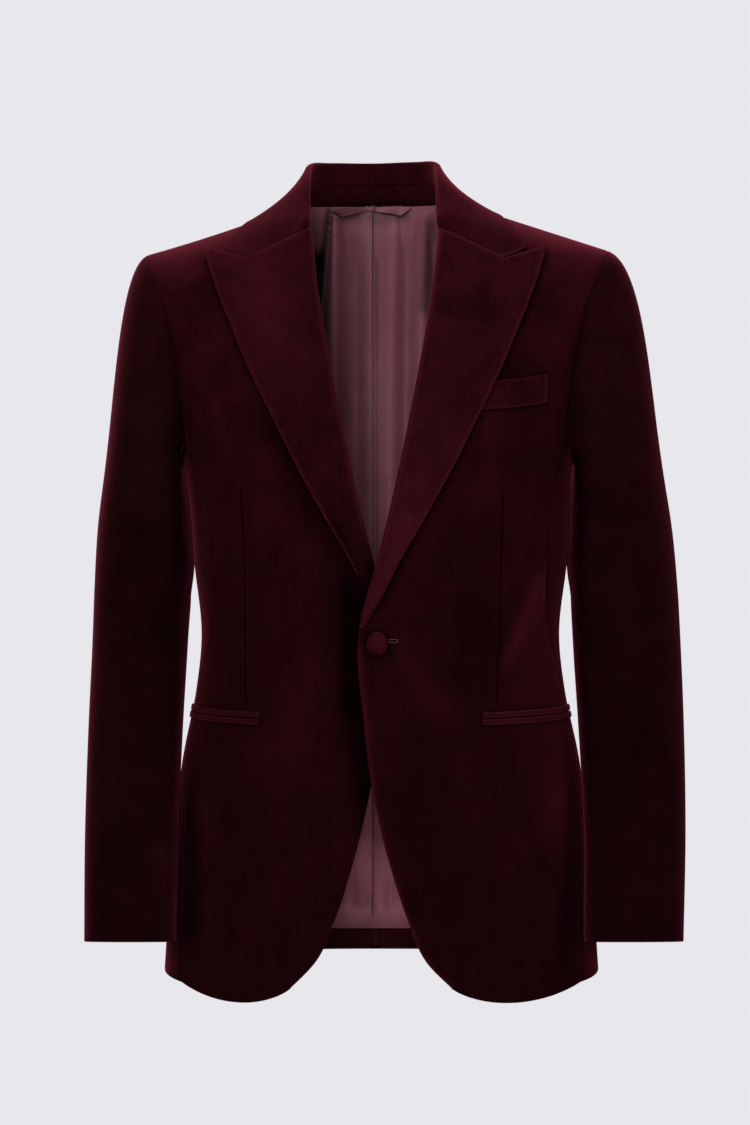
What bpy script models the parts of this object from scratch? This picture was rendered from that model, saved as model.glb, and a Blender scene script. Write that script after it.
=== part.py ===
"""Velvet dinner jacket, filled out as if worn: one-button front, peak lapels, jetted pockets.

Metres, +Z up. The jacket faces -Y, and the wearer's left is +X. The origin is the middle of the neck
opening at the height of the shoulder seams' neck ends, where the wearer's shoulders carry the cloth.
"""

import math

import bmesh
import bpy
import numpy as np
from mathutils import Vector
from mathutils.bvhtree import BVHTree

LEFT, RIGHT = 1, -1
SIDE_NAMES = {LEFT: "left", RIGHT: "right"}

# Cloth
VELVET_WALL = 0.0022
LINING_WALL = 0.0012
SEAM_GAP = 0.0003
SEAM_INSIDE = 0.0005
FOLDED_BACK = -0.2
CORNER_WALL, CORNER_OPEN, CORNER_INSIDE = 0.4, 4, 1

# Body sections: height, half width, middle, and how far the front and the back lie from the middle
BODY_POWER = 2.25
BODY = np.array([
    # z, half_width, middle_y, front, back
    (-0.750, 0.2105, 0.020, 0.150, 0.110),
    (-0.620, 0.2010, 0.015, 0.143, 0.107),
    (-0.530, 0.1905, 0.008, 0.134, 0.102),
    (-0.463, 0.1767, 0.003, 0.127, 0.098),
    (-0.415, 0.1716, 0.000, 0.123, 0.097),
    (-0.343, 0.1788, 0.000, 0.122, 0.104),
    (-0.250, 0.1865, 0.000, 0.112, 0.113),
    (-0.170, 0.2100, 0.000, 0.098, 0.116),
    (-0.120, 0.2300, 0.000, 0.086, 0.112),
])
# The worn jacket swings a little to the wearer's left below the chest
SWING = 0.030
SWING_TOP, SWING_FULL = -0.20, -0.33

# Heights of the panels' ends
FRONT_CORNER_Z = -0.7353
FRONT_SIDE_HEM_Z = -0.7385
BACK_HEM_Z = -0.7310
UNDERARM_FRONT_Z = -0.232
UNDERARM_BACK_Z = -0.205
UNDERARM_DIP = 0.014
YOKE_Z = -0.120
HEM_DIP = 0.0140

# Shoulder and neck
NECK_POINT = {LEFT: np.array([0.075, 0.004, 0.005]), RIGHT: np.array([-0.075, 0.004, 0.001])}
SHOULDER_TIP = {LEFT: np.array([0.224, 0.008, -0.0425]), RIGHT: np.array([-0.218, 0.008, -0.0465])}
SHOULDER_SAG = {LEFT: 0.0, RIGHT: 0.002}
BACK_NECK = np.array([0.0, 0.088, 0.0090])
YOKE_SOFTNESS = 16
NECK_FRONT = np.array([0.0655, -0.040, -0.028])

# Front edge from the cutaway corner up to the break, then the lapel's roll line: height and half opening
FRONT_EDGE = np.array([
    # z, from_centre
    (-0.7353, 0.0744),
    (-0.7110, 0.0515),
    (-0.6740, 0.0343),
    (-0.6200, 0.0165),
    (-0.5480, -0.0005),
    (-0.4800, -0.0115),
    (-0.4180, -0.0158),
    (-0.4040, -0.0145),
    (-0.3500, -0.0010),
    (-0.3000, 0.0119),
    (-0.2500, 0.0230),
    (-0.2000, 0.0333),
    (-0.1500, 0.0427),
    (-0.0900, 0.0530),
    (-0.0255, 0.0600),
])
# The left front's cutaway starts nearer the middle than the right one's
CUTAWAY_SHIFT = {LEFT: -0.003, RIGHT: 0.004}
CUTAWAY_TOP, CUTAWAY_FULL = -0.48, -0.56

# Seams down the sides, as a share of the body's half width, and the armholes
FRONT_SEAM = np.array([
    # z, share
    (-0.740, 0.900),
    (-0.600, 0.940),
    (-0.500, 0.972),
    (-0.440, 0.965),
    (-0.400, 0.920),
    (-0.345, 0.875),
    (-0.280, 0.895),
    (-0.232, 0.940),
])
BACK_SEAM_SHARE = 0.93
ARMHOLE = np.array([
    # z, front_x, back_x
    (-0.232, 0.1790, 0.1810),
    (-0.200, 0.1815, 0.1850),
    (-0.160, 0.1870, 0.1885),
    (-0.120, 0.1945, 0.1950),
])

# The left front lies over the right one
LAP_LIFT, LAP_LOW_LIFT = 0.0090, 0.0045
LAP_INNER, LAP_OUTER = 0.030, 0.085
LAP_TOP, LAP_FULL = -0.20, -0.33
LAP_EASE, LAP_LOW = -0.41, -0.47

# Lapel: roll, outer edge and notch
ROLL_RADIUS = 0.0042
ROLL_INSET = ROLL_RADIUS + SEAM_GAP
LAPEL_GAP = 0.0032
LAPEL_FOOT_Z, LAPEL_HEAD_Z, LAPEL_TIP_Z = -0.386, -0.0262, -0.0432
LAPEL_EDGE = np.array([
    # z, from_centre
    (-0.4040, -0.0110),
    (-0.3860, 0.0005),
    (-0.3410, 0.0235),
    (-0.3040, 0.0452),
    (-0.2570, 0.0714),
    (-0.2105, 0.0947),
    (-0.1670, 0.1160),
    (-0.1190, 0.1363),
    (-0.0755, 0.1528),
    (-0.0432, 0.1622),
])
NOTCH_AT, NOTCH_DEPTH, NOTCH_FADE = 0.59, 0.0197, 0.80

# Collar: fold line round the neck and the leaf's edge on the shoulders, from the notch to the middle of the back
COLLAR_CENTRE_X = -0.0018
COLLAR_LEFT_RISE = 0.03
COLLAR_WALL = 0.0022
COLLAR_RADIUS = 0.0036
COLLAR = np.array([
    # fold_x, fold_y, fold_z, edge_x, edge_y, edge_z
    (0.0605, -0.0440, -0.0222, 0.1470, -0.038, -0.0405),
    (0.0602, -0.020, -0.0010, 0.1310, -0.012, -0.0250),
    (0.0606, 0.012, 0.0290, 0.1160, 0.014, -0.0090),
    (0.0575, 0.045, 0.0465, 0.0930, 0.056, -0.0040),
    (0.0380, 0.074, 0.0515, 0.0560, 0.086, 0.0000),
    (0.0000, 0.085, 0.0528, 0.0000, 0.0975, 0.0030),
])
COLLAR_ACROSS = (1.0, 0.845, 0.69, 0.46, 0.23, 0.0)
COLLAR_NOTCH_AT, COLLAR_NOTCH_DEPTH, COLLAR_NOTCH_FADE = 0.69, 0.0185, 0.14
COLLAR_EDGE_LIFT = 0.0044
COLLAR_LEG = (0.0042, 0.0225)
LEG_SLANT = 0.45
BAND_WALL, BAND_GAP, BAND_SKIP = 0.0020, 0.0006, 5

# Sleeves: section heights, places and half sizes, per side
SLEEVE_CAP_Z = -0.300
SLEEVE = np.array([
    # z, left_x, left_half, right_x, right_half, middle_y, half_depth
    (-0.300, 0.2380, 0.0470, 0.2240, 0.0425, 0.004, 0.066),
    (-0.360, 0.2394, 0.0512, 0.2232, 0.0464, 0.004, 0.063),
    (-0.417, 0.2418, 0.0516, 0.2255, 0.0458, 0.000, 0.058),
    (-0.500, 0.2446, 0.0503, 0.2285, 0.0450, -0.018, 0.053),
    (-0.600, 0.2453, 0.0478, 0.2297, 0.0440, -0.050, 0.049),
    (-0.697, 0.2414, 0.0464, 0.2284, 0.0429, -0.082, 0.0455),
])
SLEEVE_FRONT_SEAM, SLEEVE_BACK_SEAM = math.radians(146), math.radians(250)
CUFF_TILT = 0.13
CAP_RISE, CAP_LEAN, UNDERARM_SLANT, UNDERARM_EASE = 0.95, 0.15, 0.45, 0.0015
CAP_REACH = {LEFT: 0.50, RIGHT: 0.40}

# Pockets and button
JET_Z, JET_RISE, JET_HEIGHT, JET_SLIT = -0.4875, 0.0030, 0.0058, 0.0008
JET_START_X, JET_TURN, JET_WALL = 0.102, math.radians(52), 0.0016
WELT_X, WELT_Z = (0.098, 0.161), (-0.2018, -0.1932)
WELT_HEIGHT, WELT_BOW, WELT_WALL = 0.0270, 0.0015, 0.0016
ON_PANEL = 0.0006
BUTTON_X, BUTTON_Z = 0.0022, -0.4175
BUTTON_STAND = 0.0004
BUTTON_PROFILE = np.array([
    # radius, height
    (0.0000, 0.0000),
    (0.0096, 0.0000),
    (0.0107, 0.0014),
    (0.0106, 0.0030),
    (0.0088, 0.0048),
    (0.0050, 0.0058),
    (0.0000, 0.0062),
])

# Lining of the back and the hanger loop
LINING_HEM_Z = -0.7100
LINING_SEAT, LINING_CLEAR, LINING_LOOSE = 0.0006, 0.0040, 0.25
LINING_SHOULDER = (0.28, 0.5)
LINING_COLUMNS, LINING_WAVES, LINING_WAVE = 11, 2.5, 0.0025
LOOP_LENGTH, LOOP_HEIGHT, LOOP_WALL, LOOP_DROOP = 0.080, 0.0085, 0.0012, 0.006
LOOP_Z, LOOP_CLEAR = 0.0035, 0.0056

# How finely each piece is divided
FRONT_COLUMNS, BACK_COLUMNS, SIDE_COLUMNS = 10, 16, 6
BODY_ROWS, ARMHOLE_ROWS, YOKE_ROWS = 13, 3, 5
LINING_ROWS = (8, 2, 4)
CAP_ROWS, SLEEVE_ROWS = 6, 7
COLLAR_STATIONS = 24
HEM_CLOSENESS = 1.3
FINE = 4
FRONT_SPARE = 0.04


def smooth_line(keys, values):
    """A smooth function through the points (key, value); the keys rise."""
    keys = np.asarray(keys, float)
    values = np.asarray(values, float)
    step = np.diff(keys).reshape((-1,) + (1,) * (values.ndim - 1))
    rise = np.diff(values, axis=0) / step
    slope = np.empty_like(values)
    slope[1:-1] = (rise[:-1] * step[1:] + rise[1:] * step[:-1]) / (step[1:] + step[:-1])
    slope[0], slope[-1] = rise[0], rise[-1]

    def at(key):
        key = np.asarray(key, float)
        cell = np.clip(np.searchsorted(keys, key) - 1, 0, len(keys) - 2)
        width = keys[cell + 1] - keys[cell]
        t = np.clip((key - keys[cell]) / width, 0, 1)
        extra = (1,) * (values.ndim - 1)
        t, width = t.reshape(t.shape + extra), width.reshape(width.shape + extra)
        return hermite(values[cell], slope[cell] * width, values[cell + 1], slope[cell + 1] * width, t)

    return at


def hermite(start, leave, end, arrive, t):
    """The cubic from start to end with those end tangents."""
    return ((2 * t**3 - 3 * t**2 + 1) * start + (t**3 - 2 * t**2 + t) * leave
            + (3 * t**2 - 2 * t**3) * end + (t**3 - t**2) * arrive)


def ramp(value, start, end):
    """0 at start and 1 at end, easing between them."""
    t = np.clip((np.asarray(value, float) - start) / (end - start), 0, 1)
    return t * t * (3 - 2 * t)


def unit(vectors):
    return vectors / np.maximum(np.linalg.norm(vectors, axis=-1, keepdims=True), 1e-12)


body_section = smooth_line(BODY[:, 0], BODY[:, 1:])
front_edge = smooth_line(FRONT_EDGE[:, 0], FRONT_EDGE[:, 1])
front_seam_share = smooth_line(FRONT_SEAM[:, 0], FRONT_SEAM[:, 1])
armhole_x = smooth_line(ARMHOLE[:, 0], ARMHOLE[:, 1:])
lapel_edge = smooth_line(LAPEL_EDGE[:, 0], LAPEL_EDGE[:, 1])
sleeve_section = smooth_line(SLEEVE[::-1, 0], SLEEVE[::-1, 1:])


def section(side, z):
    """Half width, middle, front and back of the body at height z, on one side."""
    half, middle, front, back = np.moveaxis(body_section(z), -1, 0)
    return half * (1 + side * SWING * ramp(z, SWING_TOP, SWING_FULL)), middle, front, back


def body_point(side, angle, z):
    """A point of the body's outside; angle 0 is the middle of the front, 90 degrees the side, 180 the back."""
    half, middle, front, back = section(side, z)
    across, along = np.sin(angle), np.cos(angle)
    size = (np.abs(across)**BODY_POWER + np.abs(along)**BODY_POWER)**(-1 / BODY_POWER)
    depth = np.where(along > 0, front, back)
    return np.stack(np.broadcast_arrays(side * half * across * size, middle - depth * along * size, z), -1)


def angle_of(share):
    """The front angle at which the body reaches this share of its half width."""
    share = np.asarray(share, float)
    along = np.maximum(1 - np.abs(share)**BODY_POWER, 0)**(1 / BODY_POWER)
    return np.arctan2(share, along)


def opening(side, z):
    """How far the front edge or roll line lies from the middle, on its own side."""
    return front_edge(z) + CUTAWAY_SHIFT[side] * ramp(z, CUTAWAY_TOP, CUTAWAY_FULL)


def lap_lift(side, from_centre, z):
    """How far the left front is lifted over the right one."""
    if side == RIGHT:
        return np.zeros(np.broadcast(from_centre, z).shape)
    height = LAP_LOW_LIFT + (LAP_LIFT - LAP_LOW_LIFT) * ramp(z, LAP_LOW, LAP_EASE)
    return height * ramp(z, LAP_TOP, LAP_FULL) * ramp(from_centre, LAP_OUTER, LAP_INNER)


def stations(low, middle, high, counts):
    """Row heights from low through middle to high."""
    lower = low + (middle - low) * np.linspace(0, 1, counts[0] + 1)**HEM_CLOSENESS
    return np.concatenate([lower, np.linspace(middle, high, counts[1] + 1)[1:]])


def shoulder_seam(side, t):
    """The shoulder seam from the neck point (t 0) to the tip (t 1)."""
    t = np.asarray(t, float)[..., None]
    line = NECK_POINT[side] + (SHOULDER_TIP[side] - NECK_POINT[side]) * t
    return line - np.array([0, 0, SHOULDER_SAG[side]]) * 4 * t * (1 - t)


def neck_line(side, t):
    """The back neck seam from the centre of the back (t 0) to the neck point (t 1)."""
    turn = np.asarray(t, float)[..., None] * math.pi / 2
    corner = np.array([0, NECK_POINT[side][1], NECK_POINT[side][2]])
    return corner + (NECK_POINT[side] - corner) * np.sin(turn) + (BACK_NECK - corner) * np.cos(turn)


def loft_up(lower, top, arrive, rows):
    """Rows that carry on from the last two rows of lower and arrive at the top line."""
    start = lower[-1]
    reach = np.linalg.norm(top - start, axis=-1, keepdims=True)
    leave = unit(lower[-1] - lower[-2]) * reach
    t = np.linspace(0, 1, rows + 1)[1:, None, None]
    return hermite(start, leave, top, unit(arrive) * reach, t)


def softened(rows, columns):
    """The rows evened out across their columns, most at the first and not at all at the last."""
    even = rows.copy()
    for _ in range(columns * columns // YOKE_SOFTNESS):
        even[:, 1:-1] = (even[:, :-2] + 2 * even[:, 1:-1] + even[:, 2:]) / 4
    keep = np.linspace(0, 1, len(rows) + 1)[1:, None, None]**3
    return rows * keep + even * (1 - keep)


def front_grid(side, columns, rows, spare=0.0):
    """Outside of a front panel, from hem to shoulder and from the front edge to the side seam or armhole.

    With spare, the same surface runs on past its front and neck edges by that much.
    """
    body_rows, armhole_rows, yoke_rows = rows
    z_in = stations(FRONT_CORNER_Z, UNDERARM_FRONT_Z, YOKE_Z, rows)
    z_out = stations(FRONT_SIDE_HEM_Z, UNDERARM_FRONT_Z, YOKE_Z, rows)
    inset = ROLL_INSET * ramp(z_in, LAPEL_FOOT_Z - 0.012, LAPEL_FOOT_Z + 0.004)
    inner = angle_of((opening(side, z_in) + inset - spare) / section(side, z_in)[0])
    outer_share = np.where(z_out < UNDERARM_FRONT_Z + 1e-6, front_seam_share(z_out),
                           armhole_x(z_out)[:, 0] / section(side, z_out)[0])
    outer = angle_of(outer_share)
    u = np.linspace(0, 1, columns + 1)
    dip = HEM_DIP * ramp(z_in, UNDERARM_FRONT_Z, FRONT_CORNER_Z)[:, None]**2 * np.sin(math.pi * u**0.65)
    z = z_in[:, None] + (z_out - z_in)[:, None] * u - dip
    lower = body_point(side, inner[:, None] + (outer - inner)[:, None] * u, z)
    lower[..., 1] -= lap_lift(side, side * lower[..., 0], z)
    arrive = np.stack([np.zeros_like(u), np.ones_like(u), 0.10 + 0.5 * (1 - u)], -1)
    start = -spare / abs(SHOULDER_TIP[side][0] - NECK_POINT[side][0])
    return np.concatenate([lower, loft_up(lower, shoulder_seam(side, start + (1 - start) * u), arrive, yoke_rows)])


def back_grid(side, columns, rows, hem=BACK_HEM_Z):
    """Outside of a back panel, from hem to shoulder and from the centre seam to the side seam or armhole."""
    z_in = z_out = stations(hem, UNDERARM_BACK_Z, YOKE_Z, rows)
    armhole_share = armhole_x(z_out)[:, 1] / section(side, z_out)[0]
    outer = math.pi - angle_of(np.where(z_out < UNDERARM_BACK_Z + 1e-6, BACK_SEAM_SHARE, armhole_share))
    u = np.linspace(0, 1, columns + 1)
    z = z_in[:, None] + (z_out - z_in)[:, None] * u
    lower = body_point(side, math.pi + (outer[:, None] - math.pi) * u, z)
    neck_columns = 3 * columns // 8
    neck = neck_line(side, np.linspace(0, 1, neck_columns + 1))[:-1]
    seam = shoulder_seam(side, np.linspace(0, 1, columns - neck_columns + 1))
    arrive = np.stack([np.zeros_like(u), -ramp(u, 0, 0.4), 1.0 - 0.9 * ramp(u, 0, 0.4)], -1)
    yoke = loft_up(lower, np.concatenate([neck, seam]), arrive, rows[2])
    return np.concatenate([lower, softened(yoke, columns)])


def side_grid(side, columns, rows):
    """Outside of a side panel, between the front and back seams, from hem to underarm."""
    z_front = stations(FRONT_SIDE_HEM_Z, UNDERARM_FRONT_Z, YOKE_Z, (rows[0], 0))[:, None]
    z_back = stations(BACK_HEM_Z, UNDERARM_BACK_Z, YOKE_Z, (rows[0], 0))[:, None]
    u = np.linspace(0, 1, columns + 1)
    dip = UNDERARM_DIP * ramp(z_front, -0.40, UNDERARM_FRONT_Z) * np.sin(math.pi * u)
    start = angle_of(front_seam_share(z_front))
    end = math.pi - angle_of(np.full_like(z_back, BACK_SEAM_SHARE))
    return body_point(side, start + (end - start) * u, z_front + (z_back - z_front) * u - dip)


def armhole_loop(front, back, rows):
    """The armhole's points over the shoulder, from the front side seam to the back one."""
    return np.concatenate([front[rows[0]:, -1], back[rows[0]:-1, -1][::-1]])


def sleeve_ring(side, turn, z):
    """A sleeve's section; turn 0 is outside, 90 degrees front, 180 inside and 270 back."""
    values = sleeve_section(z)
    x, half = (values[..., 0], values[..., 1]) if side == LEFT else (values[..., 2], values[..., 3])
    middle, depth = values[..., 4], values[..., 5]
    tilt = CUFF_TILT * ramp(z, SLEEVE[2, 0], SLEEVE[-1, 0])
    y = middle - depth * np.sin(turn)
    return np.stack(np.broadcast_arrays(side * (x + half * np.cos(turn)), y, z - tilt * (y - middle)), -1)


def sleeve_grid(side, edge, turn):
    """Outside of a sleeve piece, from the cuff to the armhole points in edge, at these turns round the arm."""
    heights = np.linspace(SLEEVE[-1, 0], SLEEVE_CAP_Z, SLEEVE_ROWS + 1)
    tube = sleeve_ring(side, turn[None, :], np.broadcast_to(heights[:, None], (len(heights), len(turn))))
    start = tube[-1]
    over = (np.cos(turn / 2)**2)[:, None]
    edge = edge + unit(edge * np.array([1, 1, 0])) * UNDERARM_EASE * ramp(over, 0.25, 0.09)
    reach = np.linalg.norm(edge - start, axis=-1, keepdims=True)
    leave = unit(unit(tube[-1] - tube[-2]) - np.array([side * CAP_LEAN, 0, 0]) * over) * reach * CAP_RISE
    inward = -unit(edge * np.array([1, 1, 0]))
    ending = np.maximum(over, UNDERARM_SLANT)
    arrive = unit(inward * ending + np.array([0, 0, 1.0]) * (1 - 0.7 * ending))
    t = np.linspace(0, 1, CAP_ROWS + 1)[1:, None, None]
    return np.concatenate([tube, hermite(start, leave, edge, arrive * reach * CAP_REACH[side], t)])


def spread(points, start, end):
    """Turns from start to end, spaced as the points are along their line."""
    run = np.concatenate([[0], np.cumsum(np.linalg.norm(np.diff(points, axis=0), axis=-1))])
    return start + (end - start) * run / run[-1]


def grid_normals(grid):
    """Unit normals of a grid of points; rows run up and columns run across."""
    return unit(np.cross(np.gradient(grid, axis=1), np.gradient(grid, axis=0)))


def outward(grid, side):
    """The grid with its columns running so that its normals face out of the garment."""
    return grid if side == LEFT else grid[:, ::-1]


def shared_normals(grids):
    """Normals of each grid, averaged where grids meet, so that walls are mitred at their seams.

    Cloth folded back against its neighbour keeps its own direction, and it thins where four pieces meet.
    """
    own = {name: grid_normals(grid) for name, grid in grids.items()}
    meeting = {}
    for name, grid in grids.items():
        for key, normal in zip(map(tuple, np.round(grid.reshape(-1, 3), 4)), own[name].reshape(-1, 3)):
            meeting.setdefault(key, []).append(normal)
    shared = {}
    for name, grid in grids.items():
        keys = list(map(tuple, np.round(grid.reshape(-1, 3), 4)))
        mean = [sum(other for other in meeting[key] if other @ normal > FOLDED_BACK)
                for key, normal in zip(keys, own[name].reshape(-1, 3))]
        thin = np.array([CORNER_WALL if len(meeting[key]) > 3 else 1.0 for key in keys])[:, None]
        shared[name] = (unit(np.array(mean)) * thin).reshape(grid.shape)
    return shared


def drawn_in(grid, normals, gap, corner=1.0):
    """The grid with its border drawn in by a distance, within the cloth, and its thinned corners by more."""
    moved = grid.copy()
    for axis in (0, 1):
        for end, inner in ((0, 1), (-1, -2)):
            border = np.take(grid, end, axis)
            pull = np.take(grid, inner, axis) - border
            size = np.linalg.norm(np.take(normals, end, axis), axis=-1, keepdims=True)
            normal = np.take(normals, end, axis) / size
            pull -= normal * (pull * normal).sum(-1, keepdims=True)
            rows = [slice(None)] * 2
            rows[axis] = end
            moved[tuple(rows)] += unit(pull) * gap * np.where(size < 0.9, corner, 1)
    return moved


def collection_named(name):
    made = bpy.data.collections.new(name)
    bpy.context.scene.collection.children.link(made)
    return made


def cloth_material(name, colour, roughness, sheen):
    made = bpy.data.materials.new(name)
    made.use_nodes = True
    shader = made.node_tree.nodes["Principled BSDF"]
    shader.inputs["Base Color"].default_value = (*colour, 1)
    shader.inputs["Roughness"].default_value = roughness
    shader.inputs["Metallic"].default_value = 0.0
    shader.inputs["Sheen Weight"].default_value = sheen
    made.diffuse_color = (*colour, 1)
    return made


def add_sheet(name, outer, inner, material, collection):
    """A sheet of cloth: a grid laid through the outer points, extruded to the inner ones."""
    rows, columns, _ = outer.shape
    mesh = bmesh.new()
    bmesh.ops.create_grid(mesh, x_segments=columns - 1, y_segments=rows - 1, size=1)
    place = mesh.verts.layers.int.new("place")
    for number, vertex in enumerate(mesh.verts):
        vertex[place] = number
        vertex.co = outer.reshape(-1, 3)[number]
    kept = set(mesh.verts)
    bmesh.ops.extrude_face_region(mesh, geom=mesh.faces[:], use_keep_orig=True)
    for vertex in mesh.verts:
        if vertex not in kept:
            vertex.co = inner.reshape(-1, 3)[vertex[place]]
    bmesh.ops.recalc_face_normals(mesh, faces=mesh.faces)
    bmesh.ops.triangulate(mesh, faces=mesh.faces[:], quad_method="SHORT_EDGE")
    mesh.verts.layers.int.remove(place)
    data = bpy.data.meshes.new(name)
    mesh.to_mesh(data)
    mesh.free()
    data.shade_smooth()
    data.set_sharp_from_angle(angle=math.radians(50))
    data.materials.append(material)
    made = bpy.data.objects.new(name, data)
    collection.objects.link(made)
    return made


def tree_of(grids):
    """A search tree of the surfaces of these grids."""
    points, faces = [], []
    for grid in grids:
        rows, columns, _ = grid.shape
        first = len(points)
        points += [Vector(p) for p in grid.reshape(-1, 3)]
        for r in range(rows - 1):
            for c in range(columns - 1):
                k = first + r * columns + c
                a, b, d, e = k, k + 1, k + columns + 1, k + columns
                if (points[a] - points[d]).length <= (points[b] - points[e]).length:
                    faces += [(a, b, d), (a, d, e)]
                else:
                    faces += [(b, d, e), (b, e, a)]
    return BVHTree.FromPolygons(points, faces)


def on_front(tree, x, z):
    """The point of the front that shows at x and z, and its normal towards the viewer."""
    point, normal, _, _ = tree.ray_cast(Vector((x, -1.0, z)), Vector((0, 1, 0)))
    if normal.y > 0:
        normal = -normal
    return np.array(point), np.array(normal)


def on_front_grid(tree, x, z):
    """Points and normals of the front at each pair of x and z."""
    found = [on_front(tree, a, b) for a, b in zip(x.ravel(), z.ravel())]
    shape = x.shape + (3,)
    return np.array([f[0] for f in found]).reshape(shape), np.array([f[1] for f in found]).reshape(shape)


def lapel_grids(side, tree, rows, columns):
    """Outer and inner points of a lapel: a roll round the front's edge, then the leaf lying on the front."""
    s = np.linspace(0, 1, rows + 1)[:, None]
    roll_z = LAPEL_FOOT_Z + (LAPEL_HEAD_Z - LAPEL_FOOT_Z) * s
    edge_z = LAPEL_FOOT_Z + (LAPEL_TIP_Z - LAPEL_FOOT_Z) * s
    roll_x = opening(side, roll_z) + ROLL_RADIUS
    edge_x = lapel_edge(edge_z)
    t = np.sort(np.append(np.delete(np.linspace(0, 1, columns + 1), round(NOTCH_AT * columns)), NOTCH_AT))
    hat = np.where(t < NOTCH_AT, t / NOTCH_AT, (1 - t) / (1 - NOTCH_AT))
    x = roll_x + (edge_x - roll_x) * t
    z = roll_z + (edge_z - roll_z) * t - NOTCH_DEPTH * hat * ramp(s, NOTCH_FADE, 1)
    base, normal = on_front_grid(tree, side * x, z)
    forward = np.array([0, -1.0, 0]) / np.abs(normal[..., 1:2])
    top = LAPEL_GAP + VELVET_WALL
    middle = base[:, :1] + forward[:, :1] * LAPEL_GAP / 2
    inward = unit((base[:, :1] - base[:, 1:2]) * np.array([1, 1, 0]))
    turn = np.linspace(-math.pi / 2, math.pi / 2, 5)[None, :-1, None]

    def layer(less):
        height = LAPEL_GAP / 2 + VELVET_WALL - less
        roll = middle + inward * np.cos(turn) * (ROLL_RADIUS - less) + forward[:, :1] * np.sin(turn) * height
        return np.concatenate([roll, base + forward * (top - less)], 1)

    return layer(0), layer(VELVET_WALL)


def collar_stations(count):
    """Fold points, leaf edge points and share from the ends (0) to the back (1), round the neck."""
    table = COLLAR.reshape(-1, 2, 3)
    mirrored = table[-2::-1] * np.array([-1, 1, 1])
    whole = np.concatenate([table, mirrored])[::-1]
    whole = whole + np.array([COLLAR_CENTRE_X, 0, 0])
    whole[..., 2] += COLLAR_LEFT_RISE * np.maximum(whole[..., 0], 0)
    s = np.linspace(-1, 1, len(whole))
    t = np.linspace(-1, 1, count + 1)
    line = smooth_line(s, whole)(t)
    return line[:, 0], line[:, 1], 1 - np.abs(t)


def leg_length(share):
    """How far the collar reaches down inside the neck, from its ends (share 0) to the back (share 1)."""
    return COLLAR_LEG[0] + (COLLAR_LEG[1] - COLLAR_LEG[0]) * ramp(share, 0, 0.55)


def clear_of(tree, points, lift):
    """The points, moved out where they lie nearer than lift to the cloth below: forward on the chest."""
    moved = points.reshape(-1, 3).copy()
    for number, point in enumerate(moved):
        near, normal, _, _ = tree.find_nearest(Vector(point))
        short = lift - (Vector(point) - near).dot(normal)
        chest = float(ramp(normal.y, -0.2, -0.6))
        way = (normal * (1 - chest) + Vector((0, -1, 0)) * chest).normalized()
        if short > 0:
            moved[number] += np.array(way * (short / way.dot(normal)))
    return moved.reshape(points.shape)


def collar_grid(tree, count):
    """Outside of the collar: leaf, fold and the leg inside the neck."""
    fold, edge, share = collar_stations(count)
    out = unit((edge - fold) * np.array([1, 1, 0]))
    deep = unit(np.cross(np.gradient(fold, axis=0), out))
    deep = deep * -np.sign(deep[:, 2:])
    middle = fold + (out + deep) * COLLAR_RADIUS
    lean = np.arctan2(((edge - middle) * deep).sum(-1), ((edge - middle) * out).sum(-1))[:, None]
    first = math.pi / 2 - np.clip(lean, 0, math.pi / 2)
    fold_over = []
    for share_of_turn in np.linspace(0, 1, 6):
        turn = first + (math.pi - first) * share_of_turn
        fold_over.append(middle + (out * np.cos(turn) - deep * np.sin(turn)) * COLLAR_RADIUS)
    leaf = np.stack([fold_over[0] + (edge - fold_over[0]) * t for t in COLLAR_ACROSS], 1)
    hat = np.interp(COLLAR_ACROSS, [0, COLLAR_NOTCH_AT, 1], [0, 1, 0])
    leaf[..., 2] -= COLLAR_NOTCH_DEPTH * ramp(share, COLLAR_NOTCH_FADE, 0)[:, None]**2 * hat
    leaf[:, :-1] = clear_of(tree, leaf[:, :-1], COLLAR_EDGE_LIFT)
    run = (leg_length(share) - COLLAR_RADIUS)[:, None]
    slant = LEG_SLANT * ramp(share, 0.15, 0.45)[:, None]
    leg_way = unit(deep * (1 - slant) + unit(neck_round(count) - fold_over[-1]) * slant)
    leg = [fold_over[-1] + leg_way * run * k for k in (0.5, 1.0)]
    return np.concatenate([leaf, np.stack(fold_over[1:] + leg, 1)], 1)


def neck_round(count):
    """The neck seam at each collar station: down the right front, round the back and down the left front."""
    points = []
    for t in np.linspace(-1, 1, count + 1):
        side = LEFT if t > 0 else RIGHT
        back_share = 1 - 2 * BAND_SKIP / count
        if abs(t) <= back_share:
            points.append(neck_line(side, abs(t) / back_share))
        else:
            down = (abs(t) - back_share) / (1 - back_share)
            points.append(NECK_POINT[side] + (NECK_FRONT * np.array([side, 1, 1]) - NECK_POINT[side]) * down)
    return np.array(points)


def band_grid(leg_end):
    """Inside of the collar band, from the back neck seam up to the collar's leg, shoulder to shoulder."""
    kept = slice(BAND_SKIP, len(leg_end) - BAND_SKIP)
    seam, top = neck_round(len(leg_end) - 1)[kept], leg_end[kept]
    way = unit(top - seam)
    seam, top = seam + way * SEAM_GAP, top - way * BAND_GAP
    return seam + (top - seam) * np.linspace(0, 1, 4)[:, None, None]


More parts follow.
